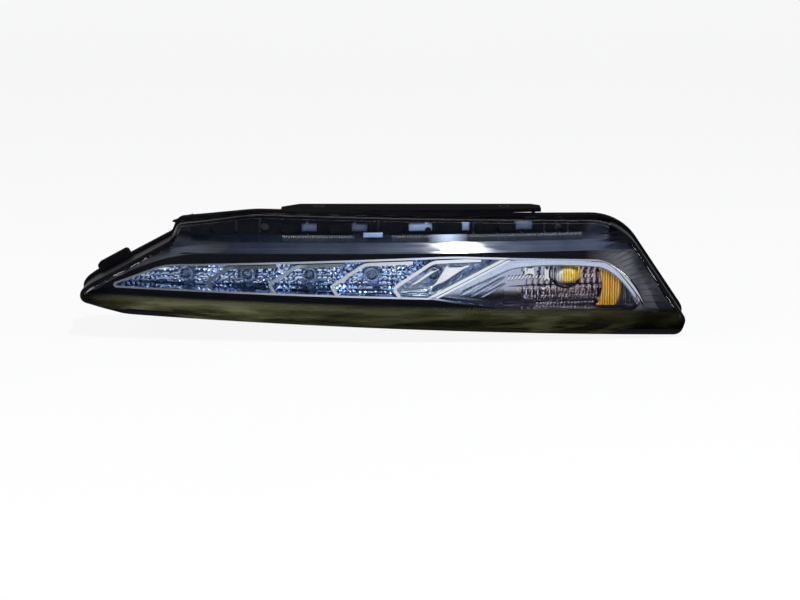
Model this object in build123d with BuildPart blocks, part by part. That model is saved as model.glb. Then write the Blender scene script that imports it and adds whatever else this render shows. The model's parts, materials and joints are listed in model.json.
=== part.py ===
"""Daytime running light with an indicator bay, as an assembly of separate pieces.

Frame: X to the right as seen from the front, -Y out of the front, Z up, in millimetres.
The origin is the foot of the locating pin on the flat rear wall of the housing.
Depths are measured back from the lens front, along the radius of the lamp's curve.
"""

import os
from math import asin, atan2, cos, radians, sin, tan

from build123d import *

os.makedirs("parts", exist_ok=True)

# Curve of the whole lamp, seen from above
PLAN_RADIUS = 1400.0
PLAN_CENTRE_X = -40.0
LAMP_DEPTH = 95.0
SECTOR_DEG = 28.0

# Length past every face of the lamp, and how far a cut runs past the face that it opens
REACH = 220.0
OVERCUT = 1.0

# Outline of the housing rim, seen from the front: corner and its radius
RIM_CORNERS = (
    ((-266.0, -28.5), 9.5),
    ((-243.0, -11.5), 30.0),
    ((-176.0, 25.0), 5.0),
    ((-171.0, 37.0), 9.0),
    ((-105.0, 44.0), 120.0),
    ((205.0, 37.3), 50.0),
    ((262.0, -47.0), 10.0),
    ((255.5, -64.0), 10.0),
    ((-212.0, -41.5), 60.0),
)

# Housing and the channel that the lens foot stands in
RIM_LIP = 2.6
RIM_DEPTH = 46.0
RIM_FLOOR = 2.4
TRAY_DEPTH = 8.0
GLUE_GAP = 0.6
GLUE_BED = 1.0
CHANNEL_WALL = 2.2
HOUSING_WALL = 2.5

# Outer lens
LENS_WALL = 2.8
FOOT_LENGTH = 6.0
LENS_RAKE = 9.0
NOSE_Z = -40.0
SHOULDER_Z = 22.0
SHOULDER_RADIUS = 16.0
ROOF_ANGLE = 33.0
LENS_EDGE_RADIUS = 6.0
UNDER_RISE = 15.0
UNDER_BASE = 3.5
UNDER_LEAN = 20.0
UNDER_TURN = 65.0
UNDER_RADIUS = 12.0

# Bezel: front face, sloping band and ledge above it, and the ribbed wall behind the ledge
BEZEL_GAP = 0.7
BEZEL_WALL = 2.2
BEZEL_DEPTH = 18.0
BAND_Z = 12.0
BAND_DEPTH = 23.0
LEDGE_Z = 20.4
LEDGE_BACK_Z = 26.0
RIB_WALL_SET = 4.0
RIB_REACH = 5.0
RIB_GAP = 2.4
RIB_ROW = (-160.0, 178.0)
RIB_COUNT = 17
RIB_TALL = 14.0
WINDOW_LOW = 27.6
WINDOW_HIGH = 34.6
WINDOWS = ((-59.0, 13.0), (-17.0, 13.0), (34.0, 20.0), (72.0, 7.0), (121.0, 15.0))
PAD_RADIUS = 8.0
PAD_STAND = 2.5
PAD_Z = 33.0
PADS = (-75.0, -37.0, 13.0, 59.0, 105.0)
BEZEL_SCREWS = ((-96.0, 31.0), (150.0, 28.2))
FAN_CENTRE = (140.0, -26.0)
FAN_COUNT = 19
FAN_START = -12.0
FAN_SWEEP = 63.0
FAN_WIDTH = 0.8
FAN_STAND = 0.5
FAN_MARGIN = 4.0

# Opening in the bezel, with the reflector's bright bead round it: corner and its radius
OPENING_CORNERS = (
    ((-233.0, -18.2), 2.4),
    ((-180.0, 2.0), 60.0),
    ((62.0, 9.4), 300.0),
    ((196.0, 3.6), 34.0),
    ((229.0, -41.5), 9.0),
    ((107.0, -38.4), 20.0),
    ((45.0, -27.3), 40.0),
)
OPENING_GAP = 0.3
BEAD_WIDTH = 1.6
BEAD_STAND = 0.6

# Running light bays
BAY_COUNT = 5
BAY_PITCH = 52.0
BAY_START_X = -196.0
BLADE_WIDTH = 2.8
BLADE_RISE = 9.0
BLADE_LEAN = 34.0
BLADE_KICK = 58.0
BLADE_TOP_LEG = 40.0
BLADE_KNEE_RADIUS = 3.0
BLADE_HEAD_RADIUS = 14.0
BLADE_DEPTH = 16.5
BLADE_SEAT = 24.0
FIT = 0.3
SEAT_GAP = 0.1
REFLECTOR_WALL = 2.0
TROUGH_MID_Z = -9.0
TROUGH_MOUTH = 20.0
TROUGH_FACETS = ((9.0, 16.0), (2.0, 8.0))
FLANGE_WIDTH = 3.0
FLANGE_THICK = 2.0

# Divider between the running light and the indicator
DIVIDER_FOOT = (38.0, -29.0)
DIVIDER_HEAD = (112.0, 9.0)
DIVIDER_WIDTH = 4.6
DIVIDER_GROOVE = 1.4

# Indicator bay
BULB_X = 158.0
BULB_Z = -11.0
FLUTE_RADIUS = 3.0
FLUTE_PITCH = 5.0
FLUTE_SINK = 1.8
FLUTE_FIRST_X = 122.0
FLUTE_COUNT = 14
TURN_WALL = 4.0
TURN_BANDS = ((-9.0, 3.0, 40.5), (-22.0, -9.0, 43.5), (-35.0, -22.0, 40.5))
RAMP_END_X = 128.0
REFLEX_CENTRE = (150.0, -20.0)
REFLEX_RADIUS = 38.0
REFLEX_SEAT = 27.0
REFLEX_THICK = 3.0
REFLEX_MARGIN = 4.0
REFLEX_GROOVES = 5
REFLEX_FIRST_X = 186.0
REFLEX_PITCH = 5.0
REFLEX_GROOVE = 1.0
TURN_FLARE = 10.0

# Light sources of the running light
LED_SHIFT = 33.0
LED_SIZE = 3.5
LED_HEIGHT = 0.8
OPTIC_RADIUS = 6.0
OPTIC_LENGTH = 8.6
OPTIC_FLARE = 1.4
OPTIC_DISH = 4.5
BOARD_GAP = 0.6
BOARD_THICK = 1.6
BOARD_SPAN = (-178.0, 62.0)
BOARD_LOW = -21.0
BOARD_HIGH = 2.0
PLATE_GAP = 0.2
PLATE_THICK = 2.0
PLATE_HIGH = 34.0
PLATE_SPAN = (-128.0, 134.0)
PLATE_STEP = 11.0
FIN_REACH = 9.0
FIN_THICK = 1.6
FIN_PITCH = 9.0
FIN_COUNT = 25
FIN_FIRST_X = -169.0
FIN_LOW = -19.0
FIN_HIGH = 9.0
PLATE_SCREWS = ((-84.0, 19.5), (14.0, 19.5), (96.0, 19.5))
SCREW_RADIUS = 1.5
SCREW_FIT = 0.1
SCREW_HEAD_RADIUS = 2.8
SCREW_HEAD = 1.8
SCREW_SLOT = 0.8
SCREW_SLOT_SPAN = 3.36
SCREW_ROOM = 1.0
SCREW_LENGTH = 9.0
BOSS_RADIUS = 3.2

# Rear of the housing: outline of the box behind the tray, corner and its radius
REAR_CORNERS = (
    ((-208.0, -31.0), 8.0),
    ((-196.0, -2.0), 10.0),
    ((-160.0, 16.0), 12.0),
    ((186.0, 16.0), 14.0),
    ((226.0, -22.0), 14.0),
    ((214.0, -47.0), 10.0),
    ((-180.0, -31.5), 10.0),
)
REAR_CHAMFER = 2.0
TONGUE_CENTRE = (-226.0, -1.5)
TONGUE_LEAN = 29.0
TONGUE_LENGTH = 30.0
TONGUE_WIDTH = 9.0
TONGUE_ROUND = 3.0
TONGUE_STAND = 1.0
BEAK_CORNERS = ((-175.5, 33.2), (-166.0, 31.0), (-158.0, 39.2))
SHELF_FRONT = -40.0
GUSSETS = (-78.0, -26.0, 27.0, 80.0, 131.0)
GUSSET_LOW = 22.0
GUSSET_THICK = 2.2
GUSSET_SETBACK = 4.0
PIN_RADIUS = 4.0
PIN_LENGTH = 10.0
PIN_TIP = 1.0
TOWER_RADIUS = 21.0
TOWER_RISE = 6.0
SOCKET_BORE = 16.0
SHELF_TOP = 42.5
SHELF_THICK = 3.0
SHELF_BACK = -5.0
SHELF_SPAN = (-84.0, 137.0)
SHELF_CHAMFER = 15.0
BOLT_X = (-52.0, 106.0)
BOLT_Y = -18.0
BUSH_RADIUS = 5.0
BOLT_RADIUS = 3.3
BUSH_FIT = 0.1
INSERT_X = -165.0
INSERT_Z = -12.0
INSERT_RADIUS = 4.0
INSERT_BORE = 2.5
INSERT_LENGTH = 11.0
INSERT_RISE = 2.0
INSERT_BOSS = 7.5
INSERT_FIT = 0.05
VENT_POINTS = ((-150.0, -22.0), (100.0, -30.0))
VENT_RADIUS = 4.0
VENT_BORE = 2.2
VENT_LENGTH = 8.0
CAP_WALL = 1.6
CAP_FIT = 0.1

# Plug headers
HEADER_X = -70.0
HEADER_Z = -12.0
HEADER_WIDE = 24.0
HEADER_TALL = 15.0
HEADER_LENGTH = 16.0
HEADER_WALL = 1.8
HEADER_FLANGE = 4.0
SEAL_THICK = 0.8
TAB_WIDE = 2.8
TAB_THICK = 0.8
TAB_FIT = 0.1
TAB_PITCH = 5.0
TAB_COUNT = 3
TAB_SHY = 3.0
TAB_TAIL = 4.0
HEADER_CAVITY = 12.0
HEADER_ROUND = 1.0
HEADER_LATCH = 6.0
HEADER_LATCH_WIDE = 8.0
LEAD_PLUG = 7.0
LEAD_PLUG_WIDE = 18.0
LEAD_PLUG_TALL = 8.0
LEAD_RADIUS = 1.6
LEAD_PITCH = 2.88

# Bulb holder and bulb
HOLDER_FLANGE_RADIUS = 20.5
HOLDER_FLANGE = 3.0
HOLDER_BARREL = 16.0
HOLDER_PLUG_WIDE = 18.0
HOLDER_PLUG_TALL = 13.0
HOLDER_PLUG = 17.0
GRIP_LENGTH = 8.0
GRIP_THICK = 3.0
LUG_THICK = 3.0
LUG_COUNT = 3
LUG_TURN = 60.0
LUG_REACH = 2.5
LUG_WIDE = 7.0
LUG_ROOM = 0.5
NOSE_Y = -32.0
NOSE_RADIUS = 11.5
BULB_BASE = 13.0
BULB_BASE_RADIUS = 8.0
BULB_RADIUS = 10.0
BULB_LENGTH = 27.0
BULB_TIP = 1.0

STAND = (Align.CENTER, Align.CENTER, Align.MIN)
HANG = (Align.CENTER, Align.CENTER, Align.MAX)
AXIS_Y = PLAN_RADIUS - LAMP_DEPTH
PLAN_AXIS = Axis((PLAN_CENTRE_X, AXIS_Y, 0), (0, 0, 1))
START = radians(SECTOR_DEG / 2)
SECTION = Plane(
    origin=(PLAN_CENTRE_X - PLAN_RADIUS * sin(START), AXIS_Y - PLAN_RADIUS * cos(START), 0),
    x_dir=(sin(START), cos(START), 0),
    z_dir=(cos(START), -sin(START), 0),
)
FOOT_DEPTH = RIM_DEPTH + FOOT_LENGTH
STEP_DEPTH = FOOT_DEPTH + TRAY_DEPTH
RIB_WALL_DEPTH = RIM_DEPTH - RIB_WALL_SET
LENS_INSET = RIM_LIP
INNER_INSET = RIM_LIP + LENS_WALL + BEZEL_GAP
CHANNEL_INSET = RIM_LIP + LENS_WALL + GLUE_GAP
CAVITY_INSET = CHANNEL_INSET + CHANNEL_WALL
BODY_INSET = CAVITY_INSET - HOUSING_WALL
CHANNEL_FLOOR = FOOT_DEPTH + GLUE_BED
PLATE_DEPTH = RIM_DEPTH + PLATE_GAP
PLATE_BACK = PLATE_DEPTH + PLATE_THICK
BOARD_DEPTH = PLATE_DEPTH - BOARD_THICK
OPTIC_DEPTH = BOARD_DEPTH - OPTIC_LENGTH
TROUGH_DEPTH = BOARD_DEPTH - BOARD_GAP - REFLECTOR_WALL
RIB_PITCH = (RIB_ROW[1] - RIB_ROW[0]) / RIB_COUNT
LED_X = [BAY_START_X + LED_SHIFT + bay * BAY_PITCH for bay in range(BAY_COUNT)]


def facing(x, z, depth):
    """Plane on the radius through x at the rim, at a depth, looking out of the front."""
    radius = PLAN_RADIUS - depth
    lean = asin((x - PLAN_CENTRE_X) / (PLAN_RADIUS - RIM_DEPTH))
    return Plane(
        origin=(PLAN_CENTRE_X + radius * sin(lean), AXIS_Y - radius * cos(lean), z),
        x_dir=(cos(lean), sin(lean), 0),
        z_dir=(sin(lean), -cos(lean), 0),
    )


def at_rear(x, z, y=0.0):
    """Plane parallel to the rear wall, looking out of the back."""
    return Plane(origin=(x, y, z), x_dir=(-1, 0, 0), z_dir=(0, 1, 0))


def outline(corners, grow):
    """Front view outline with rounded corners, grown or shrunk by an even margin."""
    with BuildSketch(Plane.XZ) as shape:
        with BuildLine():
            FilletPolyline(
                *[corner for corner, radius in corners],
                radius=[radius for corner, radius in corners],
                close=True,
            )
        make_face()
        if grow:
            offset(amount=grow, kind=Kind.INTERSECTION)
    return shape.sketch


def rim(inset):
    return outline(RIM_CORNERS, -inset)


def opening(grow):
    return outline(OPENING_CORNERS, grow)


def section(*corners):
    """Depth and height outline, to be swept along the lamp's curve."""
    with BuildSketch(SECTION) as shape:
        with BuildLine():
            Polyline(*corners, close=True)
        make_face()
    return shape.sketch


def band(near, far, low=-REACH, high=REACH):
    return section((near, low), (far, low), (far, high), (near, high))


def lens_section(inset):
    """Raked front, rounded shoulder and sloping roof of the lens, moved in by the inset."""
    lean = tan(radians(LENS_RAKE))
    back = FOOT_DEPTH + 2 * inset
    shoulder = (SHOULDER_Z - NOSE_Z) * lean
    roof = SHOULDER_Z + (back - shoulder) * tan(radians(ROOF_ANGLE))
    with BuildSketch(SECTION) as shape:
        with BuildLine():
            FilletPolyline(
                ((-REACH / 2 - NOSE_Z) * lean, -REACH / 2),
                (shoulder, SHOULDER_Z),
                (back, roof),
                (back, -REACH / 2),
                radius=(0, SHOULDER_RADIUS, 0, 0),
                close=True,
            )
        make_face()
        if inset:
            offset(amount=-inset, kind=Kind.INTERSECTION)
    return shape.sketch


def under_cut(inset):
    """Ring that trims the lens front to a face that turns under, along the rim's lower edge."""
    (x1, z1), (x2, z2) = RIM_CORNERS[-1][0], RIM_CORNERS[-2][0]
    fall = atan2(z2 - z1, x2 - x1)
    foot = z1 + (PLAN_CENTRE_X - x1) * tan(fall)
    plane = Plane(
        origin=(PLAN_CENTRE_X, AXIS_Y - PLAN_RADIUS, foot),
        x_dir=(0, 1, 0),
        z_dir=(cos(fall), 0, sin(fall)),
    )
    nose = (foot + UNDER_RISE - NOSE_Z) * tan(radians(LENS_RAKE))
    ahead = nose - UNDER_RISE * tan(radians(UNDER_LEAN))
    knee = nose + (UNDER_RISE - UNDER_BASE) * tan(radians(UNDER_LEAN))
    behind = knee + UNDER_RISE * tan(radians(UNDER_TURN))
    with BuildPart() as ring:
        with BuildSketch(plane):
            with BuildLine():
                FilletPolyline(
                    (ahead, 2 * UNDER_RISE),
                    (knee, UNDER_BASE),
                    (behind, UNDER_BASE - UNDER_RISE),
                    (ahead, UNDER_BASE - UNDER_RISE),
                    radius=(0, UNDER_RADIUS, 0, 0),
                    close=True,
                )
            make_face()
            if inset:
                offset(amount=inset, kind=Kind.INTERSECTION)
        revolve(axis=Axis(plane.origin + Vector(0, PLAN_RADIUS, 0), plane.y_dir))
    return ring.part


def curve(profile, mode=Mode.ADD):
    revolve(profile, axis=PLAN_AXIS, revolution_arc=SECTOR_DEG, mode=mode)


def through(face, mode=Mode.ADD):
    extrude(face, amount=REACH, both=True, mode=mode)


def front_edges(part):
    """Edges between the front of a lens-shaped solid and its walls."""
    back = part.faces().sort_by(SortBy.AREA)[-1]
    edges = part.edges().filter_by(Axis.Y, reverse=True) - back.edges()
    return edges.filter_by(GeomType.CIRCLE, reverse=True)


def channel():
    """Front view ring of the channel that the lens foot stands in."""
    with BuildSketch(Plane.XZ) as ring:
        add(rim(RIM_LIP - GLUE_GAP))
        add(rim(CHANNEL_INSET), mode=Mode.SUBTRACT)
    return ring.sketch


def rear(grow):
    return outline(REAR_CORNERS, grow)


def brow(x):
    """Height of the opening's upper edge over the running light bays."""
    (x1, z1), (x2, z2) = OPENING_CORNERS[1][0], OPENING_CORNERS[2][0]
    return z1 + (x - x1) * (z2 - z1) / (x2 - x1)


def sill(x):
    """Height of the opening's lower edge under the running light bays."""
    (x1, z1), (x2, z2) = OPENING_CORNERS[0][0], OPENING_CORNERS[-1][0]
    return z1 + (x - x1) * (z2 - z1) / (x2 - x1)


def led_height(x):
    return (brow(x) + sill(x)) / 2


def blade_path(x):
    """Centre line of a blade whose knee is at x: foot, knee, head and brow leg."""
    knee = sill(x) + BLADE_RISE
    head = brow(x + BLADE_RISE) - BEAD_WIDTH - FIT - BLADE_WIDTH / 2
    head_x = x + (head - knee) / tan(radians(BLADE_LEAN))
    slope = brow(1) - brow(0)
    return (
        (x + BLADE_RISE / tan(radians(BLADE_KICK)), sill(x)),
        (x, knee),
        (head_x, head),
        (head_x + BLADE_TOP_LEG, head + BLADE_TOP_LEG * slope),
    )


def beside_divider(side):
    """Front view area on one side of the divider: -1 the running light, 1 the indicator."""
    (x1, z1), (x2, z2) = DIVIDER_FOOT, DIVIDER_HEAD
    slope = (z2 - z1) / (x2 - x1)
    shift = side * FIT / 2
    with BuildSketch(Plane.XZ) as area:
        with BuildLine():
            Polyline(
                (x1 - REACH + shift, z1 - REACH * slope),
                (x2 + REACH + shift, z2 + REACH * slope),
                (x2 + REACH + shift + 2 * side * REACH, z2 + REACH * slope),
                (x1 - REACH + shift + 2 * side * REACH, z1 - REACH * slope),
                close=True,
            )
        make_face()
    return area.sketch


def trough(grow):
    """Section of the running light trough, open to the front, in flat facets."""
    wall = [(0, TROUGH_MOUTH), (BLADE_SEAT, TROUGH_MOUTH)]
    wall += [(TROUGH_DEPTH - ahead, rise) for ahead, rise in TROUGH_FACETS]
    upper = [(depth, TROUGH_MID_Z + rise) for depth, rise in wall]
    lower = [(depth, TROUGH_MID_Z - rise) for depth, rise in reversed(wall)]
    with BuildSketch(SECTION) as shape:
        with BuildLine():
            Polyline(*upper, (TROUGH_DEPTH, TROUGH_MID_Z), *lower, close=True)
        make_face()
        if grow:
            offset(amount=grow, kind=Kind.INTERSECTION)
    return shape.sketch


def turn_section(grow):
    """Section of the indicator bowl, open to the front, with a step at each fluted band."""
    steps = []
    for low, high, depth in reversed(TURN_BANDS):
        steps += [(depth, low), (depth, high)]
    with BuildSketch(SECTION) as shape:
        with BuildLine():
            Polyline(
                (0, TURN_BANDS[-1][0] - TURN_FLARE),
                (REFLEX_SEAT, TURN_BANDS[-1][0] - TURN_FLARE),
                *steps,
                (REFLEX_SEAT, TURN_BANDS[0][1] + TURN_FLARE),
                (0, TURN_BANDS[0][1] + TURN_FLARE),
                close=True,
            )
        make_face()
        if grow:
            offset(amount=grow, kind=Kind.INTERSECTION)
    return shape.sketch


def ramp(back):
    """Wedge behind the ramp at the inner end of the indicator bowl, moved back by a margin."""
    start = facing(DIVIDER_FOOT[0], 0, BLADE_SEAT + back).origin
    end = facing(RAMP_END_X, 0, TURN_BANDS[1][2] + FLUTE_SINK + back).origin
    lean = (end.Y - start.Y) / (end.X - start.X)
    with BuildPart() as wedge:
        with BuildSketch():
            with BuildLine():
                Polyline(
                    (start.X - REACH, start.Y - REACH * lean),
                    (end.X, end.Y),
                    (end.X, end.Y + REACH),
                    (start.X - REACH, end.Y + REACH),
                    close=True,
                )
            make_face()
        extrude(amount=REACH, both=True)
    return wedge.part


def finish(builder, name):
    builder.part.label = name
    export_step(builder.part, f"parts/{name}.step")


# Outer lens: a clear cover whose open foot stands in the housing channel
with BuildPart() as lens_void:
    curve(lens_section(LENS_WALL))
    through(rim(LENS_INSET + LENS_WALL), Mode.INTERSECT)
    fillet(front_edges(lens_void.part), LENS_EDGE_RADIUS - LENS_WALL)
    add(under_cut(LENS_WALL), mode=Mode.SUBTRACT)

with BuildPart() as outer_lens:
    curve(lens_section(0))
    through(rim(LENS_INSET), Mode.INTERSECT)
    fillet(front_edges(outer_lens.part), LENS_EDGE_RADIUS)
    add(under_cut(0), mode=Mode.SUBTRACT)
    add(lens_void.part, mode=Mode.SUBTRACT)
finish(outer_lens, "outer_lens")

# Sealing bead on the floor of the channel, under the lens foot
with BuildPart() as lens_seal:
    curve(band(FOOT_DEPTH, CHANNEL_FLOOR))
    through(channel(), Mode.INTERSECT)
finish(lens_seal, "lens_seal")

# Housing: rim with its channel, a front tray, and a narrower box behind it
with BuildPart() as rear_box:
    extrude(rear(0), amount=REACH)
    curve(band(-REACH, STEP_DEPTH - HOUSING_WALL / 2), Mode.SUBTRACT)
    chamfer(rear_box.faces().sort_by(Axis.Y)[-1].edges(), REAR_CHAMFER)

with BuildPart() as rear_void:
    extrude(Pos(0, -HOUSING_WALL, 0) * rear(-HOUSING_WALL), amount=REACH)
    curve(band(-REACH, RIM_DEPTH), Mode.SUBTRACT)

with BuildPart() as tray_void:
    curve(band(RIM_DEPTH - OVERCUT, STEP_DEPTH - HOUSING_WALL))
    through(rim(CAVITY_INSET), Mode.INTERSECT)

with BuildPart() as channel_void:
    curve(band(RIM_DEPTH - OVERCUT, CHANNEL_FLOOR))
    through(channel(), Mode.INTERSECT)

with BuildPart() as tray:
    curve(band(RIM_DEPTH, STEP_DEPTH))
    through(rim(BODY_INSET), Mode.INTERSECT)

with BuildSketch(Plane.XZ) as tongue_face:
    with Locations(Location(TONGUE_CENTRE, TONGUE_LEAN)):
        RectangleRounded(TONGUE_LENGTH, TONGUE_WIDTH, TONGUE_ROUND)
    add(rim(RIM_LIP - GLUE_GAP), mode=Mode.SUBTRACT)

with BuildPart() as tongue:
    curve(band(RIM_DEPTH - TONGUE_STAND, CHANNEL_FLOOR + RIM_FLOOR))
    through(tongue_face.sketch, Mode.INTERSECT)

with BuildSketch(Plane.XZ) as beak_face:
    with BuildLine():
        Polyline(*BEAK_CORNERS, close=True)
    make_face()
    add(rim(RIM_LIP - GLUE_GAP), mode=Mode.SUBTRACT)

with BuildPart() as beak:
    curve(band(RIM_DEPTH, CHANNEL_FLOOR + RIM_FLOOR))
    through(beak_face.sketch, Mode.INTERSECT)

with BuildPart() as shelf:
    with BuildSketch(Plane.XY.offset(SHELF_TOP - SHELF_THICK)):
        with BuildLine():
            Polyline(
                (SHELF_SPAN[0], SHELF_FRONT),
                (SHELF_SPAN[1], SHELF_FRONT),
                (SHELF_SPAN[1], SHELF_BACK - SHELF_CHAMFER / 2),
                (SHELF_SPAN[1] - SHELF_CHAMFER / 2, SHELF_BACK),
                (SHELF_SPAN[0] + SHELF_CHAMFER, SHELF_BACK),
                (SHELF_SPAN[0], SHELF_BACK - SHELF_CHAMFER),
                close=True,
            )
        make_face()
    extrude(amount=SHELF_THICK)
    for x in GUSSETS:
        root = facing(x, 0, STEP_DEPTH - HOUSING_WALL / 2).origin.Y
        with BuildSketch(Plane.YZ.offset(x)):
            with BuildLine():
                Polyline(
                    (root, GUSSET_LOW),
                    (root, SHELF_TOP - SHELF_THICK),
                    (SHELF_BACK - GUSSET_SETBACK, SHELF_TOP - SHELF_THICK),
                    close=True,
                )
            make_face()
        extrude(amount=GUSSET_THICK / 2, both=True)
    curve(band(-REACH, CHANNEL_FLOOR + RIM_FLOOR / 2), Mode.SUBTRACT)

with BuildPart() as housing:
    curve(band(RIM_DEPTH, CHANNEL_FLOOR + RIM_FLOOR))
    through(rim(0), Mode.INTERSECT)
    add(tongue.part)
    add(beak.part)
    add(tray.part)
    add(rear_box.part)
    add(shelf.part)
    with Locations(at_rear(BULB_X, BULB_Z)):
        Cylinder(TOWER_RADIUS, TOWER_RISE, align=STAND)
    add(tray_void.part, mode=Mode.SUBTRACT)
    add(rear_void.part, mode=Mode.SUBTRACT)
    add(channel_void.part, mode=Mode.SUBTRACT)
    # Bosses for the bezel screws and the plate screws, rooted in the step of the tray
    for points, seat in ((BEZEL_SCREWS, RIM_DEPTH), (PLATE_SCREWS, PLATE_BACK)):
        for x, z in points:
            with Locations(facing(x, z, STEP_DEPTH - HOUSING_WALL / 2)):
                Cylinder(BOSS_RADIUS, STEP_DEPTH - HOUSING_WALL / 2 - seat - SEAT_GAP, align=STAND)
            with Locations(facing(x, z, seat)):
                Hole(SCREW_RADIUS + SCREW_FIT, SCREW_LENGTH)
    # Locating pin, the frame origin
    with Locations(at_rear(0, 0)):
        Cylinder(PIN_RADIUS, PIN_LENGTH, align=STAND)
    chamfer(housing.faces().filter_by(Axis.Y).sort_by(Axis.Y)[-1].edges(), PIN_TIP)
    # Boss and bore of the threaded insert
    with Locations(at_rear(INSERT_X, INSERT_Z, -INSERT_LENGTH - HOUSING_WALL)):
        Cylinder(INSERT_BOSS, INSERT_LENGTH + HOUSING_WALL + INSERT_RISE, align=STAND)
    with Locations(at_rear(INSERT_X, INSERT_Z, INSERT_RISE)):
        Hole(INSERT_RADIUS + INSERT_FIT, INSERT_LENGTH)
    # Breather spigots
    for x, z in VENT_POINTS:
        with Locations(at_rear(x, z)):
            Cylinder(VENT_RADIUS, VENT_LENGTH, align=STAND)
        with Locations(at_rear(x, z, VENT_LENGTH)):
            Hole(VENT_BORE, VENT_LENGTH + 2 * HOUSING_WALL)
    # Bore for the bulb holder, with a notch for each of its lugs
    with BuildSketch(at_rear(BULB_X, BULB_Z, TOWER_RISE)):
        Circle(SOCKET_BORE)
        with PolarLocations(SOCKET_BORE, LUG_COUNT, start_angle=LUG_TURN):
            Rectangle(2 * LUG_REACH + 2 * LUG_ROOM, LUG_WIDE + 2 * LUG_ROOM)
    extrude(amount=-(TOWER_RISE + 2 * HOUSING_WALL), mode=Mode.SUBTRACT)
    # Port for the plug header
    with BuildSketch(at_rear(HEADER_X, HEADER_Z)):
        Rectangle(HEADER_WIDE + 2 * FIT, HEADER_TALL + 2 * FIT)
    extrude(amount=-2 * HOUSING_WALL, mode=Mode.SUBTRACT)
    # Bolt holes in the shelf, with room for the bushes
    for x in BOLT_X:
        with Locations(Plane.XY.offset(SHELF_TOP) * Pos(x, BOLT_Y)):
            Hole(BUSH_RADIUS + BUSH_FIT, SHELF_THICK)
finish(housing, "housing")

# Steel bushes that take the clamp load of the shelf bolts
for number, x in enumerate(BOLT_X, start=1):
    with BuildPart() as shelf_bush:
        with BuildSketch(Plane.XY.offset(SHELF_TOP - SHELF_THICK) * Pos(x, BOLT_Y)):
            Circle(BUSH_RADIUS)
            Circle(BOLT_RADIUS, mode=Mode.SUBTRACT)
        extrude(amount=SHELF_THICK)
    finish(shelf_bush, f"shelf_bush_{number}")

# Threaded insert for the rear fixing
with BuildPart() as rear_insert:
    with BuildSketch(at_rear(INSERT_X, INSERT_Z, INSERT_RISE)):
        Circle(INSERT_RADIUS)
        Circle(INSERT_BORE, mode=Mode.SUBTRACT)
    extrude(amount=-INSERT_LENGTH)
finish(rear_insert, "rear_insert")

# Breather caps, pushed over the spigots
for number, (x, z) in enumerate(VENT_POINTS, start=1):
    with BuildPart() as vent_cap:
        with Locations(at_rear(x, z, FIT)):
            Cylinder(VENT_RADIUS + CAP_WALL, VENT_LENGTH + CAP_WALL, align=STAND)
        fillet(vent_cap.faces().sort_by(Axis.Y)[-1].edges(), CAP_WALL / 2)
        with Locations(at_rear(x, z, VENT_LENGTH + FIT / 2)):
            Hole(VENT_RADIUS + CAP_FIT, VENT_LENGTH)
    finish(vent_cap, f"vent_cap_{number}")

# Bezel: a black tray with the light opening in its face, a ledge and a ribbed wall above
with BuildPart() as bezel_void:
    curve(
        section(
            (BEZEL_DEPTH + BEZEL_WALL, -REACH),
            (BEZEL_DEPTH + BEZEL_WALL, BAND_Z + BEZEL_WALL / 2),
            (BAND_DEPTH + BEZEL_WALL, LEDGE_Z - BEZEL_WALL),
            (RIB_WALL_DEPTH, LEDGE_BACK_Z - BEZEL_WALL),
            (RIM_DEPTH + OVERCUT, LEDGE_BACK_Z - BEZEL_WALL),
            (RIM_DEPTH + OVERCUT, -REACH),
        )
    )
    through(rim(INNER_INSET + BEZEL_WALL), Mode.INTERSECT)

with BuildSketch(Plane.XZ) as fan_face:
    with Locations(FAN_CENTRE):
        with PolarLocations(REACH / 2, FAN_COUNT, FAN_START, FAN_SWEEP, endpoint=True):
            Rectangle(REACH, FAN_WIDTH)
    add(rim(INNER_INSET + FAN_MARGIN), mode=Mode.INTERSECT)
    add(opening(FAN_MARGIN), mode=Mode.SUBTRACT)

with BuildPart() as fan:
    curve(band(BEZEL_DEPTH - FAN_STAND, BEZEL_DEPTH + BEZEL_WALL / 2, -REACH, BAND_Z))
    through(fan_face.sketch, Mode.INTERSECT)

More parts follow.
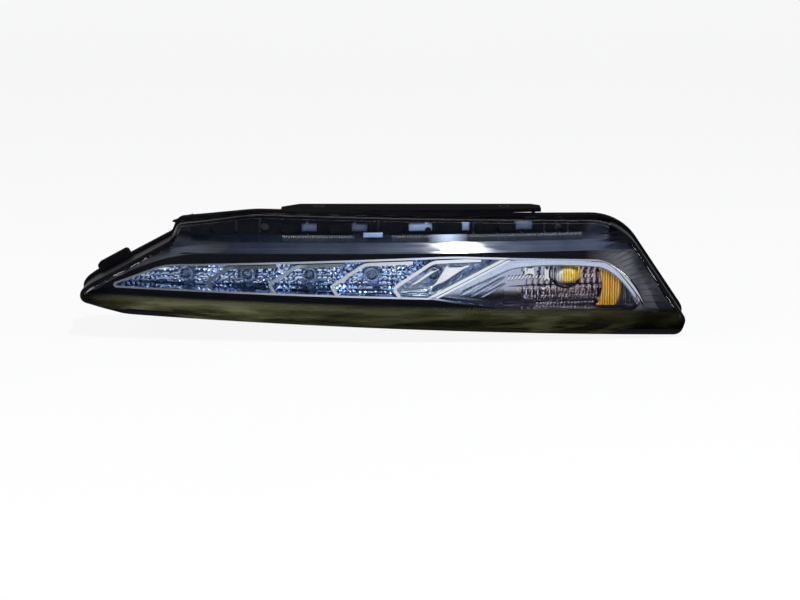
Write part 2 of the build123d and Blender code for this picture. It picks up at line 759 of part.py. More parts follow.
with BuildPart() as bezel:
    curve(
        section(
            (BEZEL_DEPTH, -REACH),
            (BEZEL_DEPTH, BAND_Z),
            (BAND_DEPTH, LEDGE_Z),
            (RIB_WALL_DEPTH, LEDGE_BACK_Z),
            (RIB_WALL_DEPTH, REACH),
            (RIM_DEPTH, REACH),
            (RIM_DEPTH, -REACH),
        )
    )
    # Blocks of the ribbed wall, with a gap between neighbours
    for step in range(RIB_COUNT):
        x = RIB_ROW[0] + (step + 0.5) * RIB_PITCH
        with BuildSketch(facing(x, LEDGE_BACK_Z, RIM_DEPTH)):
            Rectangle(RIB_PITCH - RIB_GAP, 2 * RIB_TALL)
        extrude(amount=RIM_DEPTH - RIB_WALL_DEPTH + RIB_REACH)
    # Six-sided pads that stand out of the ribbed wall
    for x in PADS:
        with BuildSketch(facing(x, PAD_Z, RIM_DEPTH)):
            RegularPolygon(PAD_RADIUS, side_count=6)
        extrude(amount=RIM_DEPTH - RIB_WALL_DEPTH + RIB_REACH + PAD_STAND)
    for x, width in WINDOWS:
        with BuildSketch(facing(x, (WINDOW_LOW + WINDOW_HIGH) / 2, RIM_DEPTH + OVERCUT)):
            Rectangle(width, WINDOW_HIGH - WINDOW_LOW)
        extrude(amount=RIM_DEPTH - BEZEL_DEPTH, mode=Mode.SUBTRACT)
    curve(lens_section(LENS_WALL + BEZEL_GAP), Mode.INTERSECT)
    through(rim(INNER_INSET), Mode.INTERSECT)
    add(bezel_void.part, mode=Mode.SUBTRACT)
    # Fine ridges that fan out from the indicator bay
    add(fan.part)
    through(opening(OPENING_GAP), Mode.SUBTRACT)
    for x, z in BEZEL_SCREWS:
        with BuildSketch(facing(x, z, RIB_WALL_DEPTH)):
            Circle(SCREW_HEAD_RADIUS + SCREW_ROOM)
        extrude(amount=RIM_DEPTH, mode=Mode.SUBTRACT)
        with Locations(facing(x, z, RIB_WALL_DEPTH)):
            Hole(SCREW_RADIUS + SCREW_FIT, RIM_DEPTH - RIB_WALL_DEPTH + OVERCUT)
finish(bezel, "bezel")

# Blades: bright bars, each with a kicked foot, a leaning leg and a leg along the brow
blade_faces = []
for number in range(1, BAY_COUNT):
    with BuildSketch(Plane.XZ) as blade_face:
        with BuildLine():
            FilletPolyline(
                *blade_path(BAY_START_X + number * BAY_PITCH),
                radius=(BLADE_KNEE_RADIUS, BLADE_HEAD_RADIUS),
            )
        trace(line_width=BLADE_WIDTH)
        add(opening(-BEAD_WIDTH - FIT), mode=Mode.INTERSECT)
    blade_faces.append(blade_face.sketch)
    with BuildPart() as light_blade:
        curve(band(BLADE_DEPTH, BLADE_SEAT - SEAT_GAP))
        through(blade_face.sketch, Mode.INTERSECT)
    finish(light_blade, f"light_blade_{number}")

with BuildSketch(Plane.XZ) as divider_face:
    with BuildLine():
        Line(DIVIDER_FOOT, DIVIDER_HEAD)
    trace(line_width=DIVIDER_WIDTH)
    add(opening(-BEAD_WIDTH - FIT), mode=Mode.INTERSECT)

with BuildSketch(Plane.XZ) as divider_groove:
    with BuildLine():
        Line(DIVIDER_FOOT, DIVIDER_HEAD)
    trace(line_width=DIVIDER_GROOVE)

with BuildPart() as groove_void:
    curve(band(BLADE_DEPTH - OVERCUT, BLADE_DEPTH + DIVIDER_GROOVE))
    through(divider_groove.sketch, Mode.INTERSECT)

with BuildPart() as light_blade:
    curve(band(BLADE_DEPTH, BLADE_SEAT - SEAT_GAP))
    through(divider_face.sketch, Mode.INTERSECT)
    add(groove_void.part, mode=Mode.SUBTRACT)
finish(light_blade, f"light_blade_{BAY_COUNT}")

# Running light reflector: a faceted trough with a partition under each blade
with BuildSketch(Plane.XZ) as drl_area:
    add(opening(0))
    add(beside_divider(-1), mode=Mode.INTERSECT)

with BuildSketch(Plane.XZ) as drl_flange:
    add(opening(FLANGE_WIDTH))
    add(beside_divider(-1), mode=Mode.INTERSECT)

with BuildSketch(Plane.XZ) as drl_inside:
    add(opening(-BEAD_WIDTH))
    add(beside_divider(-1), mode=Mode.INTERSECT)

with BuildSketch(Plane.XZ) as drl_bays:
    add(drl_inside.sketch)
    for face in blade_faces:
        add(face, mode=Mode.SUBTRACT)
    add(divider_face.sketch, mode=Mode.SUBTRACT)

with BuildPart() as drl_front_void:
    curve(band(0, BLADE_SEAT))
    through(drl_inside.sketch, Mode.INTERSECT)

with BuildPart() as drl_bay_void:
    curve(trough(0))
    through(drl_bays.sketch, Mode.INTERSECT)

with BuildPart() as drl_rim:
    curve(band(BEZEL_DEPTH + BEZEL_WALL, BEZEL_DEPTH + BEZEL_WALL + FLANGE_THICK))
    through(drl_flange.sketch, Mode.INTERSECT)

with BuildPart() as drl_reflector:
    curve(trough(REFLECTOR_WALL))
    curve(band(-REACH, BEZEL_DEPTH - BEAD_STAND), Mode.SUBTRACT)
    through(drl_area.sketch, Mode.INTERSECT)
    add(drl_rim.part)
    add(drl_front_void.part, mode=Mode.SUBTRACT)
    add(drl_bay_void.part, mode=Mode.SUBTRACT)
    for x in LED_X:
        with Locations(facing(x, led_height(x), OPTIC_DEPTH)):
            Hole(OPTIC_RADIUS + FIT, REACH / 2)
finish(drl_reflector, "drl_reflector")

# Indicator reflector: a stepped bowl with upright flutes and a smooth ramp at its inner end
with BuildSketch(Plane.XZ) as turn_area:
    add(opening(0))
    add(beside_divider(1), mode=Mode.INTERSECT)

with BuildSketch(Plane.XZ) as turn_flange:
    add(opening(FLANGE_WIDTH))
    add(beside_divider(1), mode=Mode.INTERSECT)

with BuildSketch(Plane.XZ) as turn_mouth:
    add(opening(-BEAD_WIDTH))
    add(beside_divider(1), mode=Mode.INTERSECT)

with BuildSketch(Plane.XZ) as turn_inside:
    add(turn_mouth.sketch)
    add(divider_face.sketch, mode=Mode.SUBTRACT)

with BuildSketch(Plane.XZ) as reflex_face:
    add(opening(-REFLEX_MARGIN))
    with Locations(REFLEX_CENTRE):
        Circle(REFLEX_RADIUS, mode=Mode.SUBTRACT)
    with Locations((REFLEX_CENTRE[0] + REACH / 2 + REFLEX_RADIUS / 2, REFLEX_CENTRE[1])):
        Rectangle(REACH, 2 * REFLEX_RADIUS, mode=Mode.INTERSECT)

with BuildSketch(Plane.XZ) as reflex_pad:
    add(turn_inside.sketch)
    with Locations(REFLEX_CENTRE):
        Circle(REFLEX_RADIUS, mode=Mode.SUBTRACT)
    with Locations((REFLEX_CENTRE[0] + REACH / 2 + REFLEX_RADIUS / 2, REFLEX_CENTRE[1])):
        Rectangle(REACH, 4 * REFLEX_RADIUS, mode=Mode.INTERSECT)

with BuildSketch(Plane.XZ) as turn_bowl:
    add(turn_inside.sketch)
    add(reflex_pad.sketch, mode=Mode.SUBTRACT)

with BuildPart() as turn_mouth_void:
    curve(band(0, BLADE_SEAT))
    through(turn_mouth.sketch, Mode.INTERSECT)

with BuildPart() as turn_front_void:
    curve(band(0, REFLEX_SEAT))
    through(turn_inside.sketch, Mode.INTERSECT)
    add(ramp(0), mode=Mode.SUBTRACT)

with BuildPart() as turn_bowl_void:
    curve(turn_section(0))
    for low, high, depth in TURN_BANDS:
        with BuildSketch(Plane.XY.offset(low)):
            for step in range(FLUTE_COUNT):
                x = FLUTE_FIRST_X + step * FLUTE_PITCH
                centre = facing(x, 0, depth + FLUTE_SINK - FLUTE_RADIUS).origin
                with Locations((centre.X, centre.Y)):
                    Circle(FLUTE_RADIUS)
        extrude(amount=high - low)
    through(turn_bowl.sketch, Mode.INTERSECT)
    add(ramp(0), mode=Mode.SUBTRACT)

with BuildPart() as turn_rim:
    curve(band(BEZEL_DEPTH + BEZEL_WALL, BEZEL_DEPTH + BEZEL_WALL + FLANGE_THICK))
    through(turn_flange.sketch, Mode.INTERSECT)

with BuildPart() as turn_reflector:
    curve(turn_section(TURN_WALL))
    curve(band(-REACH, BEZEL_DEPTH - BEAD_STAND), Mode.SUBTRACT)
    through(turn_area.sketch, Mode.INTERSECT)
    add(ramp(REFLECTOR_WALL), mode=Mode.SUBTRACT)
    add(turn_rim.part)
    add(turn_mouth_void.part, mode=Mode.SUBTRACT)
    add(turn_front_void.part, mode=Mode.SUBTRACT)
    add(turn_bowl_void.part, mode=Mode.SUBTRACT)
    with Locations(at_rear(BULB_X, BULB_Z)):
        Cylinder(NOSE_RADIUS + 2 * FIT, REACH, mode=Mode.SUBTRACT)
finish(turn_reflector, "turn_reflector")

# Amber reflex insert at the outer end of the indicator bay, with upright ribs on its face
with BuildPart() as side_reflex:
    curve(band(REFLEX_SEAT - REFLEX_THICK, REFLEX_SEAT))
    through(reflex_face.sketch, Mode.INTERSECT)
    for step in range(REFLEX_GROOVES):
        x = REFLEX_FIRST_X + step * REFLEX_PITCH
        with Locations(facing(x, REFLEX_CENTRE[1], REFLEX_SEAT - REFLEX_THICK)):
            Cylinder(REFLEX_GROOVE, 4 * REFLEX_RADIUS, rotation=(90, 0, 0), mode=Mode.SUBTRACT)
finish(side_reflex, "side_reflex")

# Circuit board, bent to the lamp's curve
with BuildSketch(Plane.XZ) as board_face:
    with Locations((sum(BOARD_SPAN) / 2, 0)):
        Rectangle(BOARD_SPAN[1] - BOARD_SPAN[0], REACH)

with BuildPart() as led_board:
    curve(band(BOARD_DEPTH, PLATE_DEPTH, BOARD_LOW, BOARD_HIGH))
    through(board_face.sketch, Mode.INTERSECT)
finish(led_board, "led_board")

# Light sources and the clear cups over them, one of each to a bay
for number, x in enumerate(LED_X, start=1):
    with BuildPart() as led:
        with BuildSketch(facing(x, led_height(x), BOARD_DEPTH - SEAT_GAP)):
            Rectangle(LED_SIZE, LED_SIZE)
        extrude(amount=LED_HEIGHT)
    finish(led, f"led_{number}")
    with BuildPart() as led_optic:
        with BuildSketch(facing(x, led_height(x), BOARD_DEPTH - SEAT_GAP)):
            Circle(OPTIC_RADIUS - OPTIC_FLARE)
        with BuildSketch(facing(x, led_height(x), OPTIC_DEPTH)):
            Circle(OPTIC_RADIUS)
        loft()
        with Locations(facing(x, led_height(x), BOARD_DEPTH - SEAT_GAP)):
            Cylinder(LED_SIZE, 2 * LED_HEIGHT, align=STAND, mode=Mode.SUBTRACT)
        with Locations(facing(x, led_height(x), OPTIC_DEPTH)):
            Sphere(OPTIC_DISH, mode=Mode.SUBTRACT)
    finish(led_optic, f"led_optic_{number}")

# Heat sink: a plate behind the board that also backs the windows, with upright fins
with BuildSketch(Plane.XZ) as plate_face:
    with Locations((sum(BOARD_SPAN) / 2, (BOARD_LOW + PLATE_STEP) / 2)):
        Rectangle(BOARD_SPAN[1] - BOARD_SPAN[0], PLATE_STEP - BOARD_LOW)
    with Locations((sum(PLATE_SPAN) / 2, (PLATE_STEP + PLATE_HIGH) / 2)):
        Rectangle(PLATE_SPAN[1] - PLATE_SPAN[0], PLATE_HIGH - PLATE_STEP)
    add(rim(CAVITY_INSET + FIT), mode=Mode.INTERSECT)

with BuildPart() as heat_sink:
    curve(band(PLATE_DEPTH, PLATE_BACK, BOARD_LOW, PLATE_HIGH))
    through(plate_face.sketch, Mode.INTERSECT)
    for step in range(FIN_COUNT):
        x = FIN_FIRST_X + step * FIN_PITCH
        with BuildSketch(facing(x, (FIN_LOW + FIN_HIGH) / 2, PLATE_BACK - PLATE_THICK / 2)):
            Rectangle(FIN_THICK, FIN_HIGH - FIN_LOW)
        extrude(amount=-FIN_REACH)
    with BuildSketch(facing(HEADER_X, HEADER_Z, PLATE_DEPTH - OVERCUT)):
        Rectangle(LEAD_PLUG_WIDE + 2 * FIT, LEAD_PLUG_TALL + 2 * FIT)
    extrude(amount=-2 * FIN_REACH, mode=Mode.SUBTRACT)
    for x, z in PLATE_SCREWS:
        with Locations(facing(x, z, PLATE_DEPTH)):
            Hole(SCREW_RADIUS + SCREW_FIT, PLATE_THICK + OVERCUT)
    for x, z in BEZEL_SCREWS:
        with Locations(facing(x, z, PLATE_DEPTH - OVERCUT)):
            Hole(BOSS_RADIUS + 2 * FIT, PLATE_THICK + 2 * OVERCUT)
finish(heat_sink, "heat_sink")

# Screws: one group through the bezel, one group through the heat sink
for name, points, seat in (
    ("bezel_screws", BEZEL_SCREWS, RIB_WALL_DEPTH),
    ("plate_screws", PLATE_SCREWS, PLATE_DEPTH),
):
    with BuildPart() as screws:
        for x, z in points:
            with Locations(facing(x, z, seat - SEAT_GAP)):
                Cylinder(SCREW_HEAD_RADIUS, SCREW_HEAD, align=STAND)
                Cylinder(SCREW_RADIUS, SCREW_LENGTH, align=HANG)
            with BuildSketch(facing(x, z, seat - SEAT_GAP - SCREW_HEAD)):
                Rectangle(SCREW_SLOT, SCREW_SLOT_SPAN)
                Rectangle(SCREW_SLOT_SPAN, SCREW_SLOT)
            extrude(amount=-SCREW_HEAD / 2, mode=Mode.SUBTRACT)
    finish(screws, name)

# Plug header in the rear wall, its gasket and its contact tabs
with BuildPart() as header_seal:
    with BuildSketch(at_rear(HEADER_X, HEADER_Z)):
        Rectangle(HEADER_WIDE + 2 * HEADER_FLANGE, HEADER_TALL + 2 * HEADER_FLANGE)
        Rectangle(HEADER_WIDE + 2 * FIT, HEADER_TALL + 2 * FIT, mode=Mode.SUBTRACT)
    extrude(amount=SEAL_THICK)
finish(header_seal, "header_seal")

with BuildPart() as plug_header:
    with BuildSketch(at_rear(HEADER_X, HEADER_Z, SEAL_THICK)):
        Rectangle(HEADER_WIDE + 2 * HEADER_FLANGE, HEADER_TALL + 2 * HEADER_FLANGE)
    extrude(amount=HEADER_FLANGE / 2)
    with BuildSketch(at_rear(HEADER_X, HEADER_Z, -2 * HOUSING_WALL)):
        RectangleRounded(HEADER_WIDE, HEADER_TALL, HEADER_WALL)
    extrude(amount=HEADER_LENGTH + 2 * HOUSING_WALL)
    with BuildSketch(at_rear(HEADER_X, HEADER_Z, HEADER_LENGTH)):
        RectangleRounded(HEADER_WIDE - 2 * HEADER_WALL, HEADER_TALL - 2 * HEADER_WALL, HEADER_ROUND)
    extrude(amount=-HEADER_CAVITY, mode=Mode.SUBTRACT)
    with BuildSketch(at_rear(HEADER_X, HEADER_Z + HEADER_TALL / 2, HEADER_LENGTH)):
        Rectangle(HEADER_LATCH_WIDE, 2 * HEADER_WALL)
    extrude(amount=-HEADER_LATCH)
    with BuildSketch(at_rear(HEADER_X, HEADER_Z)):
        with GridLocations(TAB_PITCH, 0, TAB_COUNT, 1):
            Rectangle(TAB_WIDE + TAB_FIT, TAB_THICK + TAB_FIT)
    extrude(amount=REACH, both=True, mode=Mode.SUBTRACT)
finish(plug_header, "plug_header")

with BuildPart() as header_tabs:
    with BuildSketch(at_rear(HEADER_X, HEADER_Z, HEADER_LENGTH - TAB_SHY)):
        with GridLocations(TAB_PITCH, 0, TAB_COUNT, 1):
            Rectangle(TAB_WIDE, TAB_THICK)
    extrude(amount=-(HEADER_LENGTH - TAB_SHY + 2 * HOUSING_WALL + TAB_TAIL))
finish(header_tabs, "header_tabs")

# Inner lead from the header tabs to the back of the board, with a plug at each end
with BuildPart() as inner_lead:
    with BuildSketch(at_rear(HEADER_X, HEADER_Z, -2 * HOUSING_WALL - SEAT_GAP)):
        Rectangle(LEAD_PLUG_WIDE, LEAD_PLUG_TALL)
    extrude(amount=-LEAD_PLUG)
    with BuildSketch(facing(HEADER_X, HEADER_Z, PLATE_DEPTH + SEAT_GAP)):
        Rectangle(LEAD_PLUG_WIDE, LEAD_PLUG_TALL)
    extrude(amount=-LEAD_PLUG)
    lead_start = -2 * HOUSING_WALL - LEAD_PLUG / 2
    lead_end = facing(HEADER_X, HEADER_Z, PLATE_DEPTH + LEAD_PLUG / 2).origin.Y
    with BuildSketch(at_rear(HEADER_X, HEADER_Z, lead_start)):
        with GridLocations(LEAD_PITCH, 0, 2, 1):
            Circle(LEAD_RADIUS)
    extrude(amount=lead_end - lead_start)
    with BuildSketch(at_rear(HEADER_X, HEADER_Z)):
        with GridLocations(TAB_PITCH, 0, TAB_COUNT, 1):
            Rectangle(TAB_WIDE + TAB_FIT, TAB_THICK + TAB_FIT)
    extrude(amount=-(2 * HOUSING_WALL + TAB_TAIL + OVERCUT), mode=Mode.SUBTRACT)
finish(inner_lead, "inner_lead")

# Bulb holder: flange and grip outside, lugs behind the wall, nose up to the reflector
with BuildPart() as socket_seal:
    with BuildSketch(at_rear(BULB_X, BULB_Z, TOWER_RISE)):
        Circle(HOLDER_FLANGE_RADIUS)
        Circle(SOCKET_BORE + LUG_REACH, mode=Mode.SUBTRACT)
    extrude(amount=SEAL_THICK)
finish(socket_seal, "socket_seal")

with BuildPart() as bulb_holder:
    with BuildSketch(at_rear(BULB_X, BULB_Z, TOWER_RISE + SEAL_THICK)):
        Circle(HOLDER_FLANGE_RADIUS)
    extrude(amount=HOLDER_FLANGE)
    with BuildSketch(at_rear(BULB_X, BULB_Z, TOWER_RISE + SEAL_THICK)):
        Circle(SOCKET_BORE - FIT)
    extrude(amount=-HOLDER_BARREL)
    with BuildSketch(at_rear(BULB_X, BULB_Z, TOWER_RISE + SEAL_THICK)):
        Circle(NOSE_RADIUS)
    extrude(amount=NOSE_Y - TOWER_RISE - SEAL_THICK)
    with BuildSketch(at_rear(BULB_X, BULB_Z, -HOUSING_WALL - FIT)):
        with PolarLocations(SOCKET_BORE - FIT, LUG_COUNT):
            Rectangle(2 * LUG_REACH, LUG_WIDE)
    extrude(amount=-LUG_THICK)
    holder_back = TOWER_RISE + SEAL_THICK + HOLDER_FLANGE
    with BuildSketch(at_rear(BULB_X, BULB_Z, holder_back)):
        RectangleRounded(HOLDER_PLUG_WIDE, HOLDER_PLUG_TALL, HEADER_WALL)
        with GridLocations(HOLDER_PLUG_WIDE + GRIP_LENGTH, 0, 2, 1):
            Rectangle(GRIP_LENGTH, GRIP_THICK)
    extrude(amount=HOLDER_PLUG)
    with BuildSketch(at_rear(BULB_X, BULB_Z, holder_back + HOLDER_PLUG)):
        RectangleRounded(
            HOLDER_PLUG_WIDE - 2 * HEADER_WALL,
            HOLDER_PLUG_TALL - 2 * HEADER_WALL,
            HEADER_ROUND,
        )
    extrude(amount=-HEADER_CAVITY, mode=Mode.SUBTRACT)
    with BuildSketch(at_rear(BULB_X, BULB_Z, NOSE_Y)):
        Circle(BULB_BASE_RADIUS + FIT)
    extrude(amount=BULB_BASE + FIT, mode=Mode.SUBTRACT)
    with BuildSketch(at_rear(BULB_X, BULB_Z)):
        with GridLocations(TAB_PITCH, 0, 2, 1):
            Rectangle(TAB_WIDE + TAB_FIT, TAB_THICK + TAB_FIT)
    extrude(amount=REACH, mode=Mode.SUBTRACT)
finish(bulb_holder, "bulb_holder")

with BuildPart() as holder_tabs:
    with BuildSketch(at_rear(BULB_X, BULB_Z, holder_back + HOLDER_PLUG - TAB_SHY)):
        with GridLocations(TAB_PITCH, 0, 2, 1):
            Rectangle(TAB_WIDE, TAB_THICK)
    extrude(amount=-(holder_back + HOLDER_PLUG - TAB_SHY - FIT))
finish(holder_tabs, "holder_tabs")

# Amber bulb, its base pushed into the nose of the holder
with BuildPart() as turn_bulb:
    with BuildSketch(at_rear(BULB_X, BULB_Z, NOSE_Y + BULB_BASE)):
        Circle(BULB_BASE_RADIUS)
    extrude(amount=-(BULB_BASE + FIT))
    with BuildSketch(at_rear(BULB_X, BULB_Z, NOSE_Y - FIT)):
        Circle(BULB_RADIUS)
    extrude(amount=-BULB_LENGTH)
    fillet(turn_bulb.faces().sort_by(Axis.Y)[0].edges(), BULB_RADIUS - BULB_TIP)
    foot_edges = turn_bulb.edges().filter_by(GeomType.CIRCLE).filter_by_position(Axis.Y, NOSE_Y - 1, NOSE_Y)
    fillet(foot_edges.group_by(SortBy.RADIUS)[-1], BULB_RADIUS - BULB_BASE_RADIUS - FIT)
finish(turn_bulb, "turn_bulb")
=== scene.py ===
import json
import math
import random

import bmesh
import bpy
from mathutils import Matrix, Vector
from mathutils.bvhtree import BVHTree


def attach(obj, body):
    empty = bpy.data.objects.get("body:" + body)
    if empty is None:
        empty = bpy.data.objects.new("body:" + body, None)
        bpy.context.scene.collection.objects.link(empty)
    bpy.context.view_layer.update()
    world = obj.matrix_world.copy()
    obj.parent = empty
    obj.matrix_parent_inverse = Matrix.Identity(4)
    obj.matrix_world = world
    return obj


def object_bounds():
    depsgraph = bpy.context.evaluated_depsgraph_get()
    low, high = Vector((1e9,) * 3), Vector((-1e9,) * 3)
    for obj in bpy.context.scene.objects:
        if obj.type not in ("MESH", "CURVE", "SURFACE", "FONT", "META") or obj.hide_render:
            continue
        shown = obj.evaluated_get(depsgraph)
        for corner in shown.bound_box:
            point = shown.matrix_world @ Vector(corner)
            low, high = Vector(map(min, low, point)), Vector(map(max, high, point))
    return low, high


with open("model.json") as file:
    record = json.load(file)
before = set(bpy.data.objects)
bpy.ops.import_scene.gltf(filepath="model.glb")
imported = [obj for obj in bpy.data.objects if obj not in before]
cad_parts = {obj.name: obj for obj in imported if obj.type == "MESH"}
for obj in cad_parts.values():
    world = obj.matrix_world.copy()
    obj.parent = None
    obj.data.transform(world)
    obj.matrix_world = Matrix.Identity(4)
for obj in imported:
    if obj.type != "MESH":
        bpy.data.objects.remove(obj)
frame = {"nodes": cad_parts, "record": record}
cad_low, cad_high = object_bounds()
nodes = frame["nodes"]
scene = bpy.context.scene
random.seed(7)

# Sizes are in millimetres, as in the solids, and place() turns them into the frame's metres.
# Depth is counted from the lens front, along the radius of the lamp's curve seen from above.
MM = 0.001
PLAN_RADIUS = 1400.0
PLAN_CENTRE_X = -40.0
LAMP_DEPTH = 95.0

# How far thin sheets and trim stand off the solid under them, and the gap in metres that makes points one
SHEET_LIFT = 0.1
TRIM_LIFT = 0.05
MERGE = 1e-6

# Power that keeps the ramp's ribs and the bezel's raised band full almost to their ends
END_POWER = 6

# Bays of the running light: section of the trough (depth, height), its opening, the divider, light sources
TROUGH = ((24, 11), (33, 7), (40, -1), (42, -9), (40, -17), (33, -25), (24, -29))
OPENING_TIP = (-233.0, -18.2)
OPENING_BROW = ((-180.0, 2.0), (62.0, 9.4))
OPENING_SILL_END = (45.0, -27.3)
DIVIDER = ((38.0, -29.0), (112.0, 9.0))
LED_X = (-163.0, -111.0, -59.0, -7.0, 45.0)
LED_CLEAR = 7.5

# Pillows of the trough, and the line of the fourth blade: the pillows beyond it, in the last bay, are a
# lighter satin copy with painted light
PILLOW_WIDE = 4.2
PILLOW_HIGH = 0.5
PILLOW_TILT = 0.9
PILLOW_MARGIN = 1.6
LAST_BAY = ((12.0, -24.5), (45.0, 6.0))

# Slanted bright facets in the last bay: lower end, upper end and the width at each
SLANTS = (
    ((43.0, -20.0), (56.0, -1.0), 7.0, 20.0),
    ((25.0, -17.5), (44.0, -3.6), 4.5, 6.0),
    ((19.0, -24.6), (21.0, -21.4), 22.0, 22.0),
)
SLANT_DEPTH = 30.0
SLANT_RISE = 0.3
SLANT_CUTS = 12

# Painted light on the bright finishes: its span along X, where it is brightest, and its share at the inner
# and the outer end
PAINTED_LIGHT_SPAN = (-250.0, 260.0)
PAINTED_LIGHT_PEAK = 0.52
PAINTED_LIGHT_ENDS = (0.72, 0.72)
BRIGHT_CHANGE = 0.06
BLADE_PAINTED_LIGHT_SPAN = (-150.0, 260.0)
BLADE_PAINTED_LIGHT_ENDS = (0.08, 0.5)
BEAD_PAINTED_LIGHT_ENDS = (0.2, 0.6)
BEAD_DEPTH = 18.5

# Upper legs of the first two blades, darkened with painted shade: where each starts along X, its soft edge
# and its share
BLADE_LEGS = {"light_blade_1": -125.0, "light_blade_2": -67.0}
LEG_SOFT = 7.0
LEG_SHARE = 0.42

# Lower part of the lens, with a painted reflection of the olive ground: fall of its upper limit along X,
# height at X = 0, fade, depth
UNDER_FALL = 0.0323
UNDER_HEIGHT = -31.0
UNDER_FADE = 2.5
UNDER_DEEP = 14.0

# Painted reflection of the ground there, in a diffuse film that darkens downwards: its share, its colours
# from the upper limit down, its streaks, and its strength along X
GROUND_PAINT_SHARE = 0.45
GROUND_PAINT_COLOURS = (
    (0.0, (0.20, 0.20, 0.115)),
    (0.35, (0.115, 0.12, 0.055)),
    (0.75, (0.065, 0.066, 0.026)),
    (1.0, (0.012, 0.012, 0.010)),
)
GROUND_PAINT_STREAKS = (0.5, -0.5)
GROUND_PAINT_SPAN = (-260.0, 260.0)
GROUND_PAINT_ALONG = (
    (-243.0, 0.05), (-200.0, 0.9), (-120.0, 1.0), (0.0, 0.52), (120.0, 0.52), (190.0, 0.4), (225.0, 0.1),
)

# Gloss of the lens: its share head on and at a glance, how late it rises, and the sheen of its lower streaks
LENS_GLOSS = (0.035, 0.4)
GLANCE_POWER = 5.0
SHEEN = (-0.015, 0.09)
SHEEN_EDGES = (0.5, 0.72)

# Black border on the end walls of the lens: where the walls start, and how far they face the front
BORDER_ENDS = (-172.0, 195.0)
BORDER_FACING = 0.92

# Back of the housing: how far its faces turn to the back, or how deep faces lie that don't turn up
BACK_FACING = 0.3
BACK_DEPTH = 74.0
BACK_RISING = 0.3

# Faces of the bezel: front, sloping band, ledge, ribbed wall and ridges, and how far they turn up or front
FACE_DEPTH = 18.0
BAND_LOW = 12.0
BAND_HIGH = 20.4
BAND_SLOPE = 0.595
BAND_RISING = (0.35, 0.75)
BAND_FACING = 0.5
LEDGE_HIGH = 26.0
LEDGE_RISING = 0.85
WALL_DEPTH = 42.0
WALL_FACING = 0.9
WALL_NEAR = 0.5
RIDGES_FROM = 195.0
FACE_EDGE = 0.1

# Outer end of the bezel that turns smoky: span along X, and how uneven the smoke is
SMOKE_SPAN = (172.0, 208.0)
SMOKE_UNEVEN = (0.2, 1.4)

# Fluted strips on the ledge of the bezel: their section (depth, height), and the span of each strip
FLUTE_SECTION = ((23.4, 20.5), (25.0, 21.5), (26.6, 22.8), (27.8, 24.3), (28.5, 26.0))
FLUTE_PITCH = 2.0
FLUTE_HIGH = 0.4
FLUTE_STEPS = 6
FLUTE_STRIPS = ((-81.0, -22.0), (10.0, 171.0))

# Silver tab on the ledge: left, right, low, high, depth, and how far its head leans back
TAB = (-13.5, 2.5, 24.4, 28.2, 27.0)
TAB_LEAN = 1.0
TAB_RISE = 0.4

# Plates in the windows of the ribbed wall, with painted light in some windows and painted shade in the rest:
# centre and width of each window
WINDOWS = ((-59.0, 13.0), (-17.0, 13.0), (34.0, 20.0), (72.0, 7.0), (121.0, 15.0))
# Windows whose plates carry painted light
PAINTED_LIGHT_WINDOWS = (34.0, 72.0)
WINDOW_LOW = 27.6
WINDOW_HIGH = 34.6
PLATE_DEPTH = 39.0
PLATE_GAP = 0.2
PLATE_RISE = 0.6
PLATE_CUTS = 8

# Dark round-headed stud before a window with painted light
STUD = (40.6, 28.2)
STUD_RADIUS = 2.6
STUD_DEPTH = 33.0
STUD_RINGS = 6
STUD_SIDES = 24

# Raised band of the bezel, from the sloping band down to the tip: start, pull and end of its two edges
LEFT_OUTER = ((-125.0, 18.5), (-188.0, 23.0), (-243.0, -19.4))
LEFT_INNER = ((-125.0, 10.9), (-181.0, 18.0), (-240.6, -22.4))
LEFT_RISE = 1.6
LEFT_CREST = 0.7
LEFT_RISEN = 0.8
LEFT_STEPS = 48

# Bright arc round the outer end of the indicator bay: start, pull and end
ARC = ((186.0, 2.2), (208.0, -4.0), (224.0, -37.0))
ARC_WIDE = 4.6
ARC_NARROW = 0.12
ARC_WIDEST_LATE = 1.7
ARC_RISE = 1.2
ARC_STEPS = 40
ARC_SIDES = 6
ARC_NEAR = 0.01

# Amber crescent at the outer end of the indicator bay, with a soft edge, and fine ribs of amber and bulb
CRESCENT_CENTRE = (163.0, -18.0)
CRESCENT_RADIUS = 41.0
CRESCENT_SOFT = 1.0
RIB_SCALE = 150.0
RIB_EDGES = (0.1, 0.9)

# Painted shade on the mirror film of the indicator bowl: direction across the divider, and span of the change
# along it
ACROSS_DIVIDER = (0.457, 0, -0.889)
BOWL_SHADE_SPAN = (55.0, 90.0)

# Rows of short ticks in the indicator bowl (start, end, low, high), and plain facets (left, right, low, high)
TICK_ROWS = (
    (109.0, 182.0, -16.8, -12.4),
    (116.0, 186.0, -25.0, -22.8),
    (122.0, 186.0, -33.0, -29.4),
    (130.0, 190.0, -37.4, -35.4),
)
TICK_PITCH = 3.0
TICK_WIDE = 1.4
TICK_LEAN = 1.0
TICK_LIFT = 0.1
TICK_RISE = 0.2
TICK_CUTS = 6
BOWL_FACETS = ((123.0, 131.0, -12.4, -4.9), (139.8, 144.2, -17.5, -6.0), (137.1, 140.6, -28.0, -22.0))

# Bulb of the indicator and the collar round it: spans where both turn from silver, on the bulb a painted
# highlight, to amber along X, and from painted shade below to light along Z
BULB = (158.0, -11.0)
BULB_RADIUS = 10.4
BULB_HOLE = 13.2
BULB_DEPTH = 37.0
BULB_AMBER_SPAN = (152.5, 154.5)
BULB_LIT_SPAN = (-17.0, -14.0)
COLLAR_FALL = 0.6
COLLAR_SIDES = 48

# Flat ramp beside the divider (x and depth of its ends), with ribs: distance from the divider, width, span
RAMP = ((39.3, 24.0), (128.1, 45.3))
RAMP_RIBS = ((11.5, 4.4, 0.32, 0.84), (17.2, 3.4, 0.42, 0.82), (22.4, 3.0, 0.50, 0.80))
RAMP_RIB_RISE = 0.9
RAMP_RIB_STEPS = 24
RAMP_RIB_SIDES = 8

